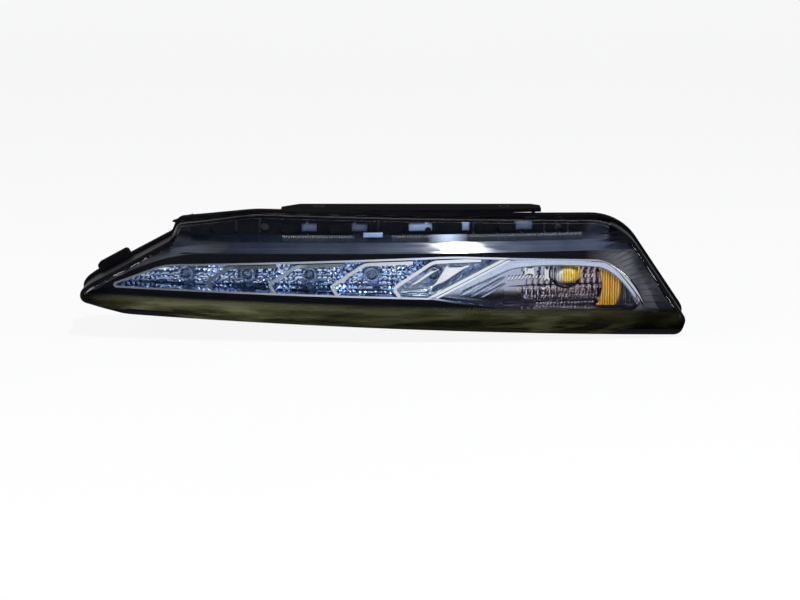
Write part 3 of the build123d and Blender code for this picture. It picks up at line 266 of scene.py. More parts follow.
# Satin frame along the divider, over the top and down the outer end of the indicator bay
FRAME_OUTER = (
    ((66.0, -17.6), (87.0, -6.8), (108.0, 4.0)),
    ((108.0, 4.0), (150.0, 5.6), (188.0, 0.6)),
    ((188.0, 0.6), (204.0, -3.5), (222.0, -37.0)),
)
FRAME_INNER = (
    ((70.0, -22.6), (90.0, -12.4), (110.0, -4.0)),
    ((110.0, -4.0), (136.0, 1.4), (184.0, -4.0)),
    ((184.0, -4.0), (202.0, -8.0), (217.5, -37.0)),
)
FRAME_SECTION = ((0.0, 24.0), (0.04, 21.4), (0.12, 20.7), (0.5, 20.4), (1.0, 20.3))
FRAME_STEPS = 24

# Noises: the range that most of one falls in, the narrower range for colours, and the stretch of streaks
NOISE_EDGES = (0.3, 0.7)
NOISE_RAMP = (0.35, 0.65)
STREAK = (0.12, 1.0, 1.0)

# Camera of the photograph: lengths and the size of a pixel where it aims in metres, its rise in degrees,
# the picture's width in pixels and the sensor's in millimetres
AIM = Vector((0.0171, -0.077, -0.027))
CAMERA_DISTANCE = 1.8
CAMERA_RISE = 12.0
CAMERA_REACH = 50.0
PIXEL = 0.000835
PICTURE_WIDTH = 800.0
SENSOR_WIDTH = 36.0

# Floor and backdrop, in metres, and how much of their own white they show
FLOOR_FRONT = -6.0
FLOOR_HALF = 5.0
SWEEP_START = 2.2
SWEEP_RADIUS = 0.8
SWEEP_STEPS = 12
BACKDROP_TOP = 4.0
FLOOR_COLOURS = ((0.84, 0.84, 0.84), (0.88, 0.88, 0.88))
FLOOR_GLOW = 0.9

# Room round the lamp: dark and light patches, their soft edges, and where it is darker overhead and low down
ROOM_COLOURS = ((0.02, 0.03, 0.055), (0.36, 0.45, 0.76))
ROOM_EDGES = (0.42, 0.62)
ROOM_DARKER = 0.35
ROOM_OVERHEAD = (0.5, 0.9)
ROOM_LOW = (0.14, 0.3)
ROOM_WHITE = (0.95, 0.95, 0.95)

# Soft lamps, in metres and watts: name, place, target, width, height and power
LAMPS = (
    ("key", (0.37, -1.33, 1.55), (0.067, -0.07, 0.02), 0.045, 0.16, 29.0),
    ("fill", (-1.7, -1.3, 1.1), (0, -0.05, 0), 1.0, 1.0, 21.0),
    ("side", (1.9, -0.9, 0.9), (0, -0.05, 0), 0.9, 0.9, 13.0),
)


# Places on the lamp

def place(x, depth, z):
    """Point in metres at a depth behind the lens front, on the curve of the lamp."""
    radius = PLAN_RADIUS - depth
    y = PLAN_RADIUS - LAMP_DEPTH - math.sqrt(radius ** 2 - (x - PLAN_CENTRE_X) ** 2)
    return Vector((x, y, z)) * MM


def out_of_axis(point):
    """Level vector in millimetres from the axis of the lamp's curve to a point in metres."""
    return Vector((point.x / MM - PLAN_CENTRE_X, point.y / MM - PLAN_RADIUS + LAMP_DEPTH, 0))


def on_line(start, end, x):
    """Height at x of the line through two points."""
    return start[1] + (x - start[0]) * (end[1] - start[1]) / (end[0] - start[0])


def brow(x):
    """Height at x of the upper edge of the running light's opening."""
    if x < OPENING_BROW[0][0]:
        return on_line(OPENING_TIP, OPENING_BROW[0], x)
    return on_line(*OPENING_BROW, x)


def sill(x):
    """Height at x of the lower edge of the running light's opening."""
    return on_line(OPENING_TIP, OPENING_SILL_END, x)


def pulled(points, t):
    """Point on the curve from the first point to the last that the middle one pulls to itself."""
    start, pull, end = (Vector(point) for point in points)
    return (1 - t) ** 2 * start + 2 * t * (1 - t) * pull + t ** 2 * end


def on_ramp(x, z, lift):
    """Point in metres that stands off the flat ramp beside the divider."""
    start, end = (place(*point, 0) for point in RAMP)
    share = (x * MM - start.x) / (end.x - start.x)
    return start.lerp(end, share) + Vector((0, -lift, z)) * MM


def face_depth(z):
    """Depth of the bezel's face, which slopes back above its band line."""
    return FACE_DEPTH + BAND_SLOPE * max(0.0, z - BAND_LOW)


def surface_of(node):
    """Faces of a solid in the frame, to find where its surface lies."""
    points = [node.matrix_world @ vertex.co for vertex in node.data.vertices]
    return BVHTree.FromPolygons(points, [face.vertices for face in node.data.polygons])


def foremost(surface, left, right, low, high):
    """Foremost Y in metres of a surface behind a small window, or None where part of it has none."""
    fronts = []
    for x in (left, (left + right) / 2, right):
        for z in (low, (low + high) / 2, high):
            hit = surface.ray_cast(Vector((x, -LAMP_DEPTH, z)) * MM, Vector((0, 1, 0)))[0]
            if hit is None:
                return None
            fronts.append(hit.y)
    return min(fronts)


# Nodes of the materials; each function returns the socket that the next one takes

def new_material(name):
    """Material with an empty tree and its output."""
    mat = bpy.data.materials.new(name)
    mat.use_nodes = True
    tree = mat.node_tree
    tree.nodes.clear()
    return mat, tree, tree.nodes.new("ShaderNodeOutputMaterial")


def principled(tree, out, **sockets):
    """Principled shader with constants on its own sockets."""
    bsdf = tree.nodes.new("ShaderNodeBsdfPrincipled")
    for name, value in sockets.items():
        bsdf.inputs[name.replace("_", " ")].default_value = value
    tree.links.new(bsdf.outputs[0], out.inputs[0])
    return bsdf


def object_space(tree):
    """Place in object space, which stays on the surface in every view."""
    return tree.nodes.new("ShaderNodeTexCoord").outputs["Object"]


def coordinate(tree, axis, vector=None):
    """Place along an axis, in object space if no vector is given."""
    axes = tree.nodes.new("ShaderNodeSeparateXYZ")
    tree.links.new(object_space(tree) if vector is None else vector, axes.inputs[0])
    return axes.outputs[axis]


def noise(tree, scale, detail=4.0, vector=None):
    """Noise, in object space if no vector is given."""
    tex = tree.nodes.new("ShaderNodeTexNoise")
    tex.inputs["Scale"].default_value = scale
    tex.inputs["Detail"].default_value = detail
    tree.links.new(object_space(tree) if vector is None else vector, tex.inputs["Vector"])
    return tex.outputs[0]


def streaks(tree, scale):
    """Noise in object space, drawn out along X."""
    drawn = vector_math(tree, "MULTIPLY", object_space(tree), STREAK)
    return noise(tree, scale, detail=3.0, vector=drawn)


def upright_ribs(tree, distortion=0.0, detail_scale=1.0):
    """Fine upright waves in object space."""
    tex = tree.nodes.new("ShaderNodeTexWave")
    tex.inputs["Scale"].default_value = RIB_SCALE
    tex.inputs["Distortion"].default_value = distortion
    tex.inputs["Detail Scale"].default_value = detail_scale
    tree.links.new(object_space(tree), tex.inputs["Vector"])
    return tex.outputs["Fac"]


def arithmetic(tree, operation, *values):
    """Math node on sockets and plain numbers."""
    node = tree.nodes.new("ShaderNodeMath")
    node.operation = operation
    for value, socket in zip(values, node.inputs):
        if isinstance(value, (int, float)):
            socket.default_value = value
        else:
            tree.links.new(value, socket)
    return node.outputs[0]


def vector_math(tree, operation, vector, constant):
    """Vector Math node on a socket and a constant vector."""
    node = tree.nodes.new("ShaderNodeVectorMath")
    node.operation = operation
    node.inputs[1].default_value = constant
    tree.links.new(vector, node.inputs[0])
    return node.outputs["Value" if operation in ("DOT_PRODUCT", "DISTANCE") else "Vector"]


def scaled(tree, colour, factor):
    """Colour times a number."""
    node = tree.nodes.new("ShaderNodeVectorMath")
    node.operation = "SCALE"
    tree.links.new(colour, node.inputs[0])
    tree.links.new(factor, node.inputs["Scale"])
    return node.outputs[0]


def spread(tree, factor, low, high, start=0.0, end=1.0):
    """Number that runs from low to high while a factor runs from start to end."""
    node = tree.nodes.new("ShaderNodeMapRange")
    node.inputs["From Min"].default_value = start
    node.inputs["From Max"].default_value = end
    node.inputs["To Min"].default_value = low
    node.inputs["To Max"].default_value = high
    tree.links.new(factor, node.inputs["Value"])
    return node.outputs[0]


def along(tree, axis, start, end, low=0.0, high=1.0):
    """Number that runs from low to high between two places on an axis, in millimetres."""
    return spread(tree, coordinate(tree, axis), low, high, start * MM, end * MM)


def near_x(tree, centre, reach, soft, low):
    """Number that is 1 within a reach of a place along X, and low beyond a soft edge; in millimetres."""
    off = arithmetic(tree, "ABSOLUTE", arithmetic(tree, "SUBTRACT", coordinate(tree, "X"), centre * MM))
    return spread(tree, off, 1.0, low, reach * MM, (reach + soft) * MM)


def faded(tree, colour, at_share, at_full, share):
    """Colour that is full at one place along X and falls to a share of itself at another; in millimetres."""
    return scaled(tree, colour, along(tree, "X", at_share, at_full, low=share))


def stops(tree, factor, colours):
    """Colour that runs through several stops of place and colour."""
    node = tree.nodes.new("ShaderNodeValToRGB")
    elements = node.color_ramp.elements
    elements[0].position, elements[1].position = colours[0][0], colours[-1][0]
    elements[0].color, elements[1].color = (*colours[0][1], 1), (*colours[-1][1], 1)
    for position, colour in colours[1:-1]:
        elements.new(position).color = (*colour, 1)
    tree.links.new(factor, node.inputs[0])
    return node.outputs[0]


def ramp(tree, factor, low, high, edges=(0.0, 1.0)):
    """Colour that runs from low to high while a factor runs between two edges."""
    return stops(tree, factor, ((edges[0], low), (edges[1], high)))


def mixed(tree, factor, first, second):
    """Colour that runs from the first to the second with a factor."""
    node = tree.nodes.new("ShaderNodeMix")
    node.data_type = "RGBA"
    for name, socket in (("Factor", factor), ("A", first), ("B", second)):
        tree.links.new(socket, node.inputs[name])
    return node.outputs["Result"]


def mixed_shader(tree, share, first, second):
    """Shader that is the first, with a share of the second."""
    node = tree.nodes.new("ShaderNodeMixShader")
    for index, socket in enumerate((share, first, second)):
        tree.links.new(socket, node.inputs[index])
    return node.outputs[0]


def bump(tree, bsdf, height, strength, distance):
    """Fine relief on a shader; the distance is in metres."""
    node = tree.nodes.new("ShaderNodeBump")
    node.inputs["Strength"].default_value = strength
    node.inputs["Distance"].default_value = distance
    tree.links.new(height, node.inputs["Height"])
    tree.links.new(node.outputs[0], bsdf.inputs["Normal"])


def times(colour, share):
    """Plain colour times a number."""
    return tuple(share * part for part in colour)


# Kinds of material

def moulded(
    name, low, high, rough, grain=0.0, specular=0.5, metal=0.0, ior=1.5, fade=None, painted_glint=None, streaky=False,
):
    """Moulded plastic, rubber or plain metal: slight colour and gloss change, fine grain.

    A fade, which paints light or shade along X, is what faded() takes after the colour, and a painted
    highlight what near_x() takes after the tree.
    """
    mat, tree, out = new_material(name)
    bsdf = principled(tree, out, Metallic=metal, Specular_IOR_Level=specular, IOR=ior)
    broad = noise(tree, scale=28.0)
    colour = ramp(tree, broad, low, high, NOISE_RAMP)
    if fade:
        colour = faded(tree, colour, *fade)
    # A painted highlight: the colour is full near one place along X and low beyond it
    if painted_glint:
        colour = scaled(tree, colour, near_x(tree, *painted_glint))
    tree.links.new(colour, bsdf.inputs["Base Color"])
    worn = streaks(tree, scale=260.0) if streaky else broad
    tree.links.new(spread(tree, worn, *rough, *NOISE_EDGES), bsdf.inputs["Roughness"])
    if grain:
        bump(tree, bsdf, noise(tree, scale=1500.0, detail=2.0), strength=grain, distance=0.0002)
    return mat


def surface_gloss(tree):
    """Share of light that the lens throws back: low head on, high at a glance."""
    weight = tree.nodes.new("ShaderNodeLayerWeight")
    weight.inputs["Blend"].default_value = 0.5
    glance = arithmetic(tree, "POWER", weight.outputs["Facing"], GLANCE_POWER)
    return spread(tree, glance, *LENS_GLOSS)


def under_height(tree):
    """Height over the sloping upper limit of the lens's lower part."""
    height = vector_math(tree, "DOT_PRODUCT", object_space(tree), (UNDER_FALL, 0, 1))
    return arithmetic(tree, "SUBTRACT", height, UNDER_HEIGHT * MM)


def clear_cover(name, tint, under_see, under_gloss, rough):
    """Thin clear plastic: seen through and glossy, with a painted reflection of the olive ground along its
    lower edge, which tints what shows through and the gloss and adds a diffuse film that darkens downwards.
    """
    mat, tree, out = new_material(name)
    height = under_height(tree)
    drawn = streaks(tree, scale=160.0)
    under = spread(tree, height, 0.0, 1.0, UNDER_FADE * MM, -UNDER_FADE * MM)
    whole = GROUND_PAINT_SPAN[1] - GROUND_PAINT_SPAN[0]
    shares = [((x - GROUND_PAINT_SPAN[0]) / whole, (share, share, share)) for x, share in GROUND_PAINT_ALONG]
    strength = stops(tree, along(tree, "X", *GROUND_PAINT_SPAN), shares)

    # Painted reflection of the ground: the lower edge lets through a dark olive, and its gloss is tinted
    # olive and weakened where the painted reflection is faint
    see = tree.nodes.new("ShaderNodeBsdfTransparent")
    tree.links.new(ramp(tree, under, tint, under_see), see.inputs[0])
    gloss = tree.nodes.new("ShaderNodeBsdfGlossy")
    lost = arithmetic(tree, "MULTIPLY", under, arithmetic(tree, "SUBTRACT", 1.0, strength))
    kept = arithmetic(tree, "SUBTRACT", 1.0, lost)
    tree.links.new(scaled(tree, ramp(tree, under, (1, 1, 1), under_gloss), kept), gloss.inputs[0])
    smear = spread(tree, noise(tree, scale=40.0), 0.5 * rough, 1.5 * rough)
    tree.links.new(smear, gloss.inputs["Roughness"])
    sheen = arithmetic(tree, "MULTIPLY", under, spread(tree, drawn, *SHEEN, *SHEEN_EDGES))
    share = arithmetic(tree, "ADD", surface_gloss(tree), sheen)
    glossy = mixed_shader(tree, share, see.outputs[0], gloss.outputs[0])

    # Diffuse film with the painted reflection of the ground, darker further down
    film = tree.nodes.new("ShaderNodeBsdfDiffuse")
    down = spread(tree, height, 0.0, 1.0, 0.0, -UNDER_DEEP * MM)
    ground_level = arithmetic(tree, "ADD", down, spread(tree, drawn, *GROUND_PAINT_STREAKS, *NOISE_EDGES))
    tree.links.new(scaled(tree, stops(tree, ground_level, GROUND_PAINT_COLOURS), strength), film.inputs[0])
    painted_ground = mixed_shader(tree, spread(tree, under, 0.0, GROUND_PAINT_SHARE), glossy, film.outputs[0])
    tree.links.new(painted_ground, out.inputs[0])
    return mat


def smoky(name, black, smoke, rough):
    """Black moulding that turns smoky towards its outer end, in soft streaks."""
    mat, tree, out = new_material(name)
    bsdf = principled(tree, out, IOR=1.12)
    broad = noise(tree, scale=34.0)
    uneven = spread(tree, broad, *SMOKE_UNEVEN, *NOISE_EDGES)
    level = arithmetic(tree, "MULTIPLY", along(tree, "X", *SMOKE_SPAN), uneven)
    tree.links.new(ramp(tree, level, black, smoke), bsdf.inputs["Base Color"])
    tree.links.new(spread(tree, broad, *rough), bsdf.inputs["Roughness"])
    return mat


def lacquered(name, silver, amber, dark, metal=0.0):
    """Bulb glass and its collar: silver on the inner side, which on the bulb is a painted highlight, amber on
    the outer side, and painted shade underneath.
    """
    mat, tree, out = new_material(name)
    bsdf = principled(tree, out, IOR=1.5, Metallic=metal, Coat_Weight=1.0, Coat_Roughness=0.02)
    ribs = upright_ribs(tree)
    # On the bulb the silver side is a painted highlight
    side = along(tree, "X", *BULB_AMBER_SPAN)
    lined = scaled(tree, ramp(tree, side, silver, amber), spread(tree, ribs, low=0.45, high=1.0))
    # Painted shade underneath the bulb and its collar
    shadow = ramp(tree, ribs, dark, times(dark, 2), NOISE_RAMP)
    lit = along(tree, "Z", *BULB_LIT_SPAN)
    tree.links.new(mixed(tree, lit, shadow, lined), bsdf.inputs["Base Color"])
    tree.links.new(spread(tree, noise(tree, scale=80.0), low=0.12, high=0.2), bsdf.inputs["Roughness"])
    bump(tree, bsdf, ribs, strength=0.5, distance=0.0005)
    return mat


def bright(name, tint, rough, ripple=0.0, scale=260.0, span=PAINTED_LIGHT_SPAN, ends=PAINTED_LIGHT_ENDS, fade=None):
    """Metallised mirror film with painted light, brightest near the divider, and a faint ripple from the
    moulding.
    """
    mat, tree, out = new_material(name)
    bsdf = principled(tree, out, Metallic=1.0)
    broad = noise(tree, scale=60.0)
    uneven = spread(tree, broad, -BRIGHT_CHANGE, BRIGHT_CHANGE)
    # Painted light: the colour peaks along X and falls to a share of itself towards both ends
    level = arithmetic(tree, "ADD", along(tree, "X", *span), uneven)
    shades = ((0.0, times(tint, ends[0])), (PAINTED_LIGHT_PEAK, tint), (1.0, times(tint, ends[1])))
    colour = stops(tree, level, shades)
    # A fade darkens the colour along X with painted shade, as on the blades' upper legs
    if fade:
        colour = faded(tree, colour, *fade)
    tree.links.new(colour, bsdf.inputs["Base Color"])
    tree.links.new(spread(tree, broad, rough, rough + BRIGHT_CHANGE), bsdf.inputs["Roughness"])
    if ripple:
        bump(tree, bsdf, noise(tree, scale, detail=1.0), strength=ripple, distance=0.0006)
    return mat


def painted_bowl_shade(name, pale, dark, rough):
    """Mirror film of the indicator bowl: pale beside the divider, darker and purplish further out with
    painted shade.
    """
    mat, tree, out = new_material(name)
    bsdf = principled(tree, out, Metallic=1.0)
    off = vector_math(tree, "DOT_PRODUCT", object_space(tree), ACROSS_DIVIDER)
    # Painted shade: darker further from the divider, deeper in the bowl
    level = spread(tree, off, 0.0, 1.0, BOWL_SHADE_SPAN[0] * MM, BOWL_SHADE_SPAN[1] * MM)
    tree.links.new(ramp(tree, level, pale, dark), bsdf.inputs["Base Color"])
    tree.links.new(spread(tree, noise(tree, scale=60.0), *rough), bsdf.inputs["Roughness"])
    return mat


def fluted_clear(name, deep, pale, beyond, rough):
    """Coloured clear plastic with fine upright ribs, smoky outside the crescent."""
    mat, tree, out = new_material(name)
    bsdf = principled(tree, out, IOR=1.45, Coat_Weight=0.5, Coat_Roughness=0.03)
    ribs = upright_ribs(tree, distortion=1.2, detail_scale=3.0)
    flat = vector_math(tree, "MULTIPLY", object_space(tree), (1, 0, 1))
    centre = (CRESCENT_CENTRE[0] * MM, 0, CRESCENT_CENTRE[1] * MM)
    reach = vector_math(tree, "DISTANCE", flat, centre)
    edges = ((CRESCENT_RADIUS - CRESCENT_SOFT) * MM, (CRESCENT_RADIUS + CRESCENT_SOFT) * MM)
    outside = spread(tree, reach, 0.0, 1.0, *edges)
    crescent = ramp(tree, ribs, deep, pale, RIB_EDGES)
    smoke = ramp(tree, ribs, beyond, times(beyond, 2), RIB_EDGES)
    tree.links.new(mixed(tree, outside, crescent, smoke), bsdf.inputs["Base Color"])
    tree.links.new(spread(tree, noise(tree, scale=80.0), *rough), bsdf.inputs["Roughness"])
    bump(tree, bsdf, ribs, strength=0.8, distance=0.0006)
    return mat


# Plain mouldings and metals: darker and lighter colour, least and most roughness, and what else they need
MOULDED = {
    # housing_black is a near-black copy of the housing plastic that throws back almost nothing: painted
    # shade; housing_back is the plain plastic
    "housing_black": ((0.003, 0.003, 0.004), (0.007, 0.007, 0.009), (0.5, 0.65), dict(grain=0.25, ior=1.02)),
    "housing_back": ((0.018, 0.018, 0.020), (0.030, 0.030, 0.033), (0.35, 0.5), dict(grain=0.25, ior=1.45)),
    # Painted light on the sloping band: its colour is full at X = 60, by the lamp's highlight, and falls to a
    # share of itself towards the left
    "bezel_grey": (
        (0.046, 0.056, 0.088), (0.072, 0.087, 0.132), (0.05, 0.14),
        dict(specular=0.3, fade=(-130.0, 60.0, 0.36), streaky=True),
    ),
    "bezel_smoke": ((0.05, 0.05, 0.055), (0.10, 0.10, 0.11), (0.25, 0.35), dict(specular=0.2)),
    "wall_blue": (
        (0.009, 0.013, 0.024), (0.016, 0.022, 0.040), (0.3, 0.45),
        dict(specular=0.3, fade=(-150.0, -105.0, 0.08)),
    ),
    "lens_border": ((0.003, 0.003, 0.004), (0.006, 0.006, 0.008), (0.4, 0.5), dict(ior=1.08)),
    # Painted shade on the raised band: its colour falls to a share of itself towards the tip
    "band_grey": (
        (0.085, 0.09, 0.105), (0.115, 0.12, 0.14), (0.3, 0.4),
        dict(specular=0.2, fade=(-125.0, -200.0, 0.12)),
    ),
    "sealant": ((0.008, 0.008, 0.008), (0.02, 0.02, 0.02), (0.6, 0.8), {}),
    "ledge_satin": (
        (0.018, 0.027, 0.05), (0.034, 0.05, 0.085), (0.25, 0.4),
        dict(metal=0.5, fade=(-150.0, -90.0, 0.08)),
    ),
    # Painted highlight on the ledge flutes: nearly white around X = 57 and dark further off
    "ledge_painted_highlight": (
        (0.42, 0.54, 0.80), (0.70, 0.80, 1.0), (0.2, 0.3), dict(specular=0.25, painted_glint=(57.0, 2.0, 15.0, 0.04)),
    ),
    # Lit and shaded copies of the window plates, painted light and painted shade; the tab on the ledge takes
    # the lit one for its silver
    "silver_and_painted_light": ((0.20, 0.29, 0.50), (0.30, 0.40, 0.62), (0.3, 0.4), {}),
    "plate_painted_shade": ((0.05, 0.07, 0.12), (0.08, 0.11, 0.18), (0.3, 0.4), {}),
    # Lighter satin copy of the pillow film, painted light in the last bay
    "bay_satin_painted_light": ((0.72, 0.81, 0.94), (0.88, 0.94, 1.0), (0.12, 0.24), dict(metal=0.35)),
    "frame_satin": ((0.52, 0.61, 0.80), (0.66, 0.75, 0.94), (0.2, 0.3), dict(metal=0.8)),
    "board_white": ((0.55, 0.58, 0.56), (0.68, 0.70, 0.68), (0.4, 0.6), {}),
    "led_yellow": ((0.75, 0.65, 0.2), (0.9, 0.8, 0.35), (0.25, 0.4), {}),
    "heat_sink_metal": ((0.45, 0.50, 0.60), (0.58, 0.62, 0.70), (0.28, 0.42), dict(metal=1.0)),
    "screw_steel": ((0.03, 0.03, 0.034), (0.06, 0.06, 0.066), (0.2, 0.35), dict(metal=1.0)),
    "bush_black": ((0.004, 0.004, 0.005), (0.009, 0.009, 0.010), (0.5, 0.6), dict(ior=1.1)),
    "insert_brass": ((0.55, 0.38, 0.12), (0.68, 0.5, 0.2), (0.25, 0.4), dict(metal=1.0)),
    "contact_tin": ((0.55, 0.55, 0.53), (0.68, 0.68, 0.65), (0.3, 0.4), dict(metal=1.0)),
    "seal_rubber": ((0.010, 0.010, 0.010), (0.022, 0.022, 0.022), (0.65, 0.85), dict(grain=0.3)),
    "header_plastic": ((0.014, 0.014, 0.016), (0.028, 0.028, 0.030), (0.4, 0.55), dict(grain=0.2)),
    "holder_plastic": ((0.07, 0.075, 0.08), (0.11, 0.115, 0.12), (0.4, 0.55), dict(grain=0.2)),
    "lead_sleeve": ((0.01, 0.01, 0.01), (0.02, 0.02, 0.02), (0.5, 0.7), {}),
}

# Mirror films: tint, roughness, and what else they need
BRIGHT = {
    "bright_metal": ((0.68, 0.80, 1.0), 0.05, dict(ripple=0.15)),
    "optic_bright": ((0.40, 0.48, 0.64), 0.08, dict(ripple=3.0, scale=500.0)),
    "light_guide": ((0.92, 0.96, 1.0), 0.06, dict(span=BLADE_PAINTED_LIGHT_SPAN, ends=BLADE_PAINTED_LIGHT_ENDS)),
    "bead_metal": ((0.80, 0.87, 1.0), 0.05, dict(span=BLADE_PAINTED_LIGHT_SPAN, ends=BEAD_PAINTED_LIGHT_ENDS)),
}
# Copies of the blade film with painted shade on the upper legs of the first two blades
for blade, leg in BLADE_LEGS.items():
    dull = dict(span=BLADE_PAINTED_LIGHT_SPAN, ends=BLADE_PAINTED_LIGHT_ENDS, fade=(leg + LEG_SOFT, leg, LEG_SHARE))
    BRIGHT["dull_" + blade] = ((0.74, 0.85, 1.0), 0.06, dull)

finishes = {
    # The lower edge's colours here carry the painted reflection of the ground
    "lens_clear": clear_cover(
        "lens_clear", tint=(0.985, 0.988, 0.995), under_see=(0.16, 0.16, 0.09),
        under_gloss=(0.75, 0.75, 0.42), rough=0.03,
    ),
    "bezel_black": smoky(
        "bezel_black", black=(0.004, 0.004, 0.005), smoke=(0.15, 0.15, 0.165), rough=(0.14, 0.24),
    ),
    "amber_clear": fluted_clear(
        "amber_clear", deep=(0.32, 0.12, 0.003), pale=(0.92, 0.52, 0.03), beyond=(0.02, 0.02, 0.024),
        rough=(0.05, 0.13),
    ),
    "bulb_glass": lacquered(
        "bulb_glass", silver=(0.95, 0.96, 1.0), amber=(0.92, 0.62, 0.06), dark=(0.030, 0.022, 0.026),
    ),
    "collar_film": lacquered(
        "collar_film", silver=(0.92, 0.94, 1.0), amber=(0.95, 0.66, 0.08), dark=(0.05, 0.04, 0.045),
        metal=1.0,
    ),
    "painted_bowl_shade_metal": painted_bowl_shade(
        "painted_bowl_shade_metal", pale=(0.44, 0.51, 0.68), dark=(0.42, 0.345, 0.37), rough=(0.08, 0.16),
    ),
}
for name, (low, high, rough, other) in MOULDED.items():
    finishes[name] = moulded(name, low, high, rough, **other)
for name, (tint, rough, other) in BRIGHT.items():
    finishes[name] = bright(name, tint, rough, **other)


# Finishes of the solids

def finish_of(node, slot):
    """Finish of a solid: that of its slot in the record, or its own where the photograph shows another."""
    if node.startswith("led_optic"):
        return finishes["optic_bright"]
    if node.startswith("shelf_bush"):
        return finishes["bush_black"]
    if node in BLADE_LEGS:
        return finishes["dull_" + node]
    return finishes[{"turn_reflector": "painted_bowl_shade_metal", "turn_bulb": "bulb_glass"}.get(node, slot)]


def faces_of(node):
    """Each face of a solid, with its centre in millimetres, normal, depth, and how far it faces the front."""
    turn = node.matrix_world.to_3x3()
    for face in node.data.polygons:
        point, normal = node.matrix_world @ face.center, turn @ face.normal
        away = out_of_axis(point)
        yield face, point / MM, normal, PLAN_RADIUS - away.length, normal.dot(away.normalized())


def bezel_finishes():
    """Own finish for the bezel's sloping band, ledge, ribbed wall and fan of ridges."""
    bezel = nodes["bezel"]
    for name in ("bezel_grey", "ledge_satin", "wall_blue", "bezel_smoke"):
        bezel.data.materials.append(finishes[name])
    for face, point, normal, depth, front in faces_of(bezel):
        on_band = BAND_LOW - FACE_EDGE < point.z < BAND_HIGH + FACE_EDGE
        on_ledge = BAND_HIGH - FACE_EDGE < point.z < LEDGE_HIGH + 2 * FACE_EDGE
        if on_band and BAND_RISING[0] < normal.z < BAND_RISING[1] and front > BAND_FACING:
            face.material_index = 1
        elif on_ledge and normal.z > LEDGE_RISING:
            face.material_index = 2
        elif front > WALL_FACING and point.z > LEDGE_HIGH and abs(depth - WALL_DEPTH) < WALL_NEAR:
            face.material_index = 3
        elif point.x > RIDGES_FROM and depth < FACE_DEPTH - FACE_EDGE:
            face.material_index = 4


def bead_finish():
    """Own finish for the bead round the running light, with painted light that falls off towards the tip."""
    reflector = nodes["drl_reflector"]
    reflector.data.materials.append(finishes["bead_metal"])
    for face, _, _, depth, _ in faces_of(reflector):
        if depth < BEAD_DEPTH:
            face.material_index = 1


def housing_finishes():
    """Ordinary black plastic on the back of the housing; the rest is a near-black copy with painted shade."""
    housing = nodes["housing"]
    housing.data.materials.append(finishes["housing_back"])
    for face, _, normal, depth, _ in faces_of(housing):
        if normal.y > BACK_FACING or depth > BACK_DEPTH and normal.z < BACK_RISING:
            face.material_index = 1


def lens_borders():
    """Black border on the walls of the lens at its two ends."""
    lens = nodes["outer_lens"]
    lens.data.materials.append(finishes["lens_border"])
    for face, point, _, _, front in faces_of(lens):
        if abs(front) < BORDER_FACING and not BORDER_ENDS[0] < point.x < BORDER_ENDS[1]:
            face.material_index = 1


for entry in frame["record"]["subparts"]:
    materials = nodes[entry["node"]].data.materials
    materials.clear()
    materials.append(finish_of(entry["node"], entry["material_slot"]))
bezel_finishes()
bead_finish()
housing_finishes()
lens_borders()


# Pieces that the solids leave plain

def piece(name, build, finish):
    """Smooth object from a bmesh that rides with the lamp."""
    mesh = bpy.data.meshes.new(name)
    build.to_mesh(mesh)
    build.free()
    mesh.shade_smooth()
    mesh.materials.append(finishes[finish])
    obj = bpy.data.objects.new(name, mesh)
    scene.collection.objects.link(obj)
    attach(obj, "root")
    return obj


def grid(build, rows):
    """Quads between rows of points."""
    rows = [[build.verts.new(point) for point in row] for row in rows]
    for near, far in zip(rows, rows[1:]):
        for a, b, c, d in zip(near, near[1:], far[1:], far):
            build.faces.new((a, b, c, d))


def domed(corners, cuts, flat):
    """Rows of points over a four-cornered face, each with its share of a dome; a high flat levels the top."""
    a, b, c, d = (Vector(corner) for corner in corners)
    rows = []
    for i in range(cuts + 1):
        t = i / cuts
        row = []
        for j in range(cuts + 1):
            s = j / cuts
            point = (a * (1 - s) + b * s) * (1 - t) + (d * (1 - s) + c * s) * t
            row.append((point, (1 - (2 * s - 1) ** (2 * flat)) * (1 - (2 * t - 1) ** (2 * flat))))
        rows.append(row)
    return rows


def patch(build, corners, rise, cuts=4, flat=1):
    """Four-cornered face, domed along its own normal; corners are x, depth and z."""
    a, b, _, d = (Vector(corner) for corner in corners)
    normal = (b - a).cross(d - a).normalized()
    rows = []
    for row in domed(corners, cuts, flat):
        rows.append([place(*(point + normal * (SHEET_LIFT + rise * dome))) for point, dome in row])
    grid(build, rows)


def raised(build, corners, front, lift, rise):
    """Almost flat upright face, domed towards the front; corners are x and z, from the lower left round."""
    rows = []
    for row in domed(corners, TICK_CUTS, flat=2):
        rows.append([(point.x * MM, front - (lift + rise * dome) * MM, point.y * MM) for point, dome in row])
    grid(build, rows)


def ring(centre, radius, depth, sides):
    """Row of points once round a centre, at one depth."""
    row = []
    for step in range(sides + 1):
        turn = math.tau * step / sides
        row.append(place(centre[0] + radius * math.cos(turn), depth, centre[1] + radius * math.sin(turn)))
    return row


def in_bays(x, z):
    """Whether a pillow fits at a point: inside the opening, clear of light sources and divider."""
    if not sill(x) + PILLOW_MARGIN < z < brow(x) - PILLOW_MARGIN:
        return False
    if z < on_line(*DIVIDER, x + PILLOW_WIDE):
        return False
    return all(math.dist((x, z), (led, (brow(led) + sill(led)) / 2)) > LED_CLEAR for led in LED_X)


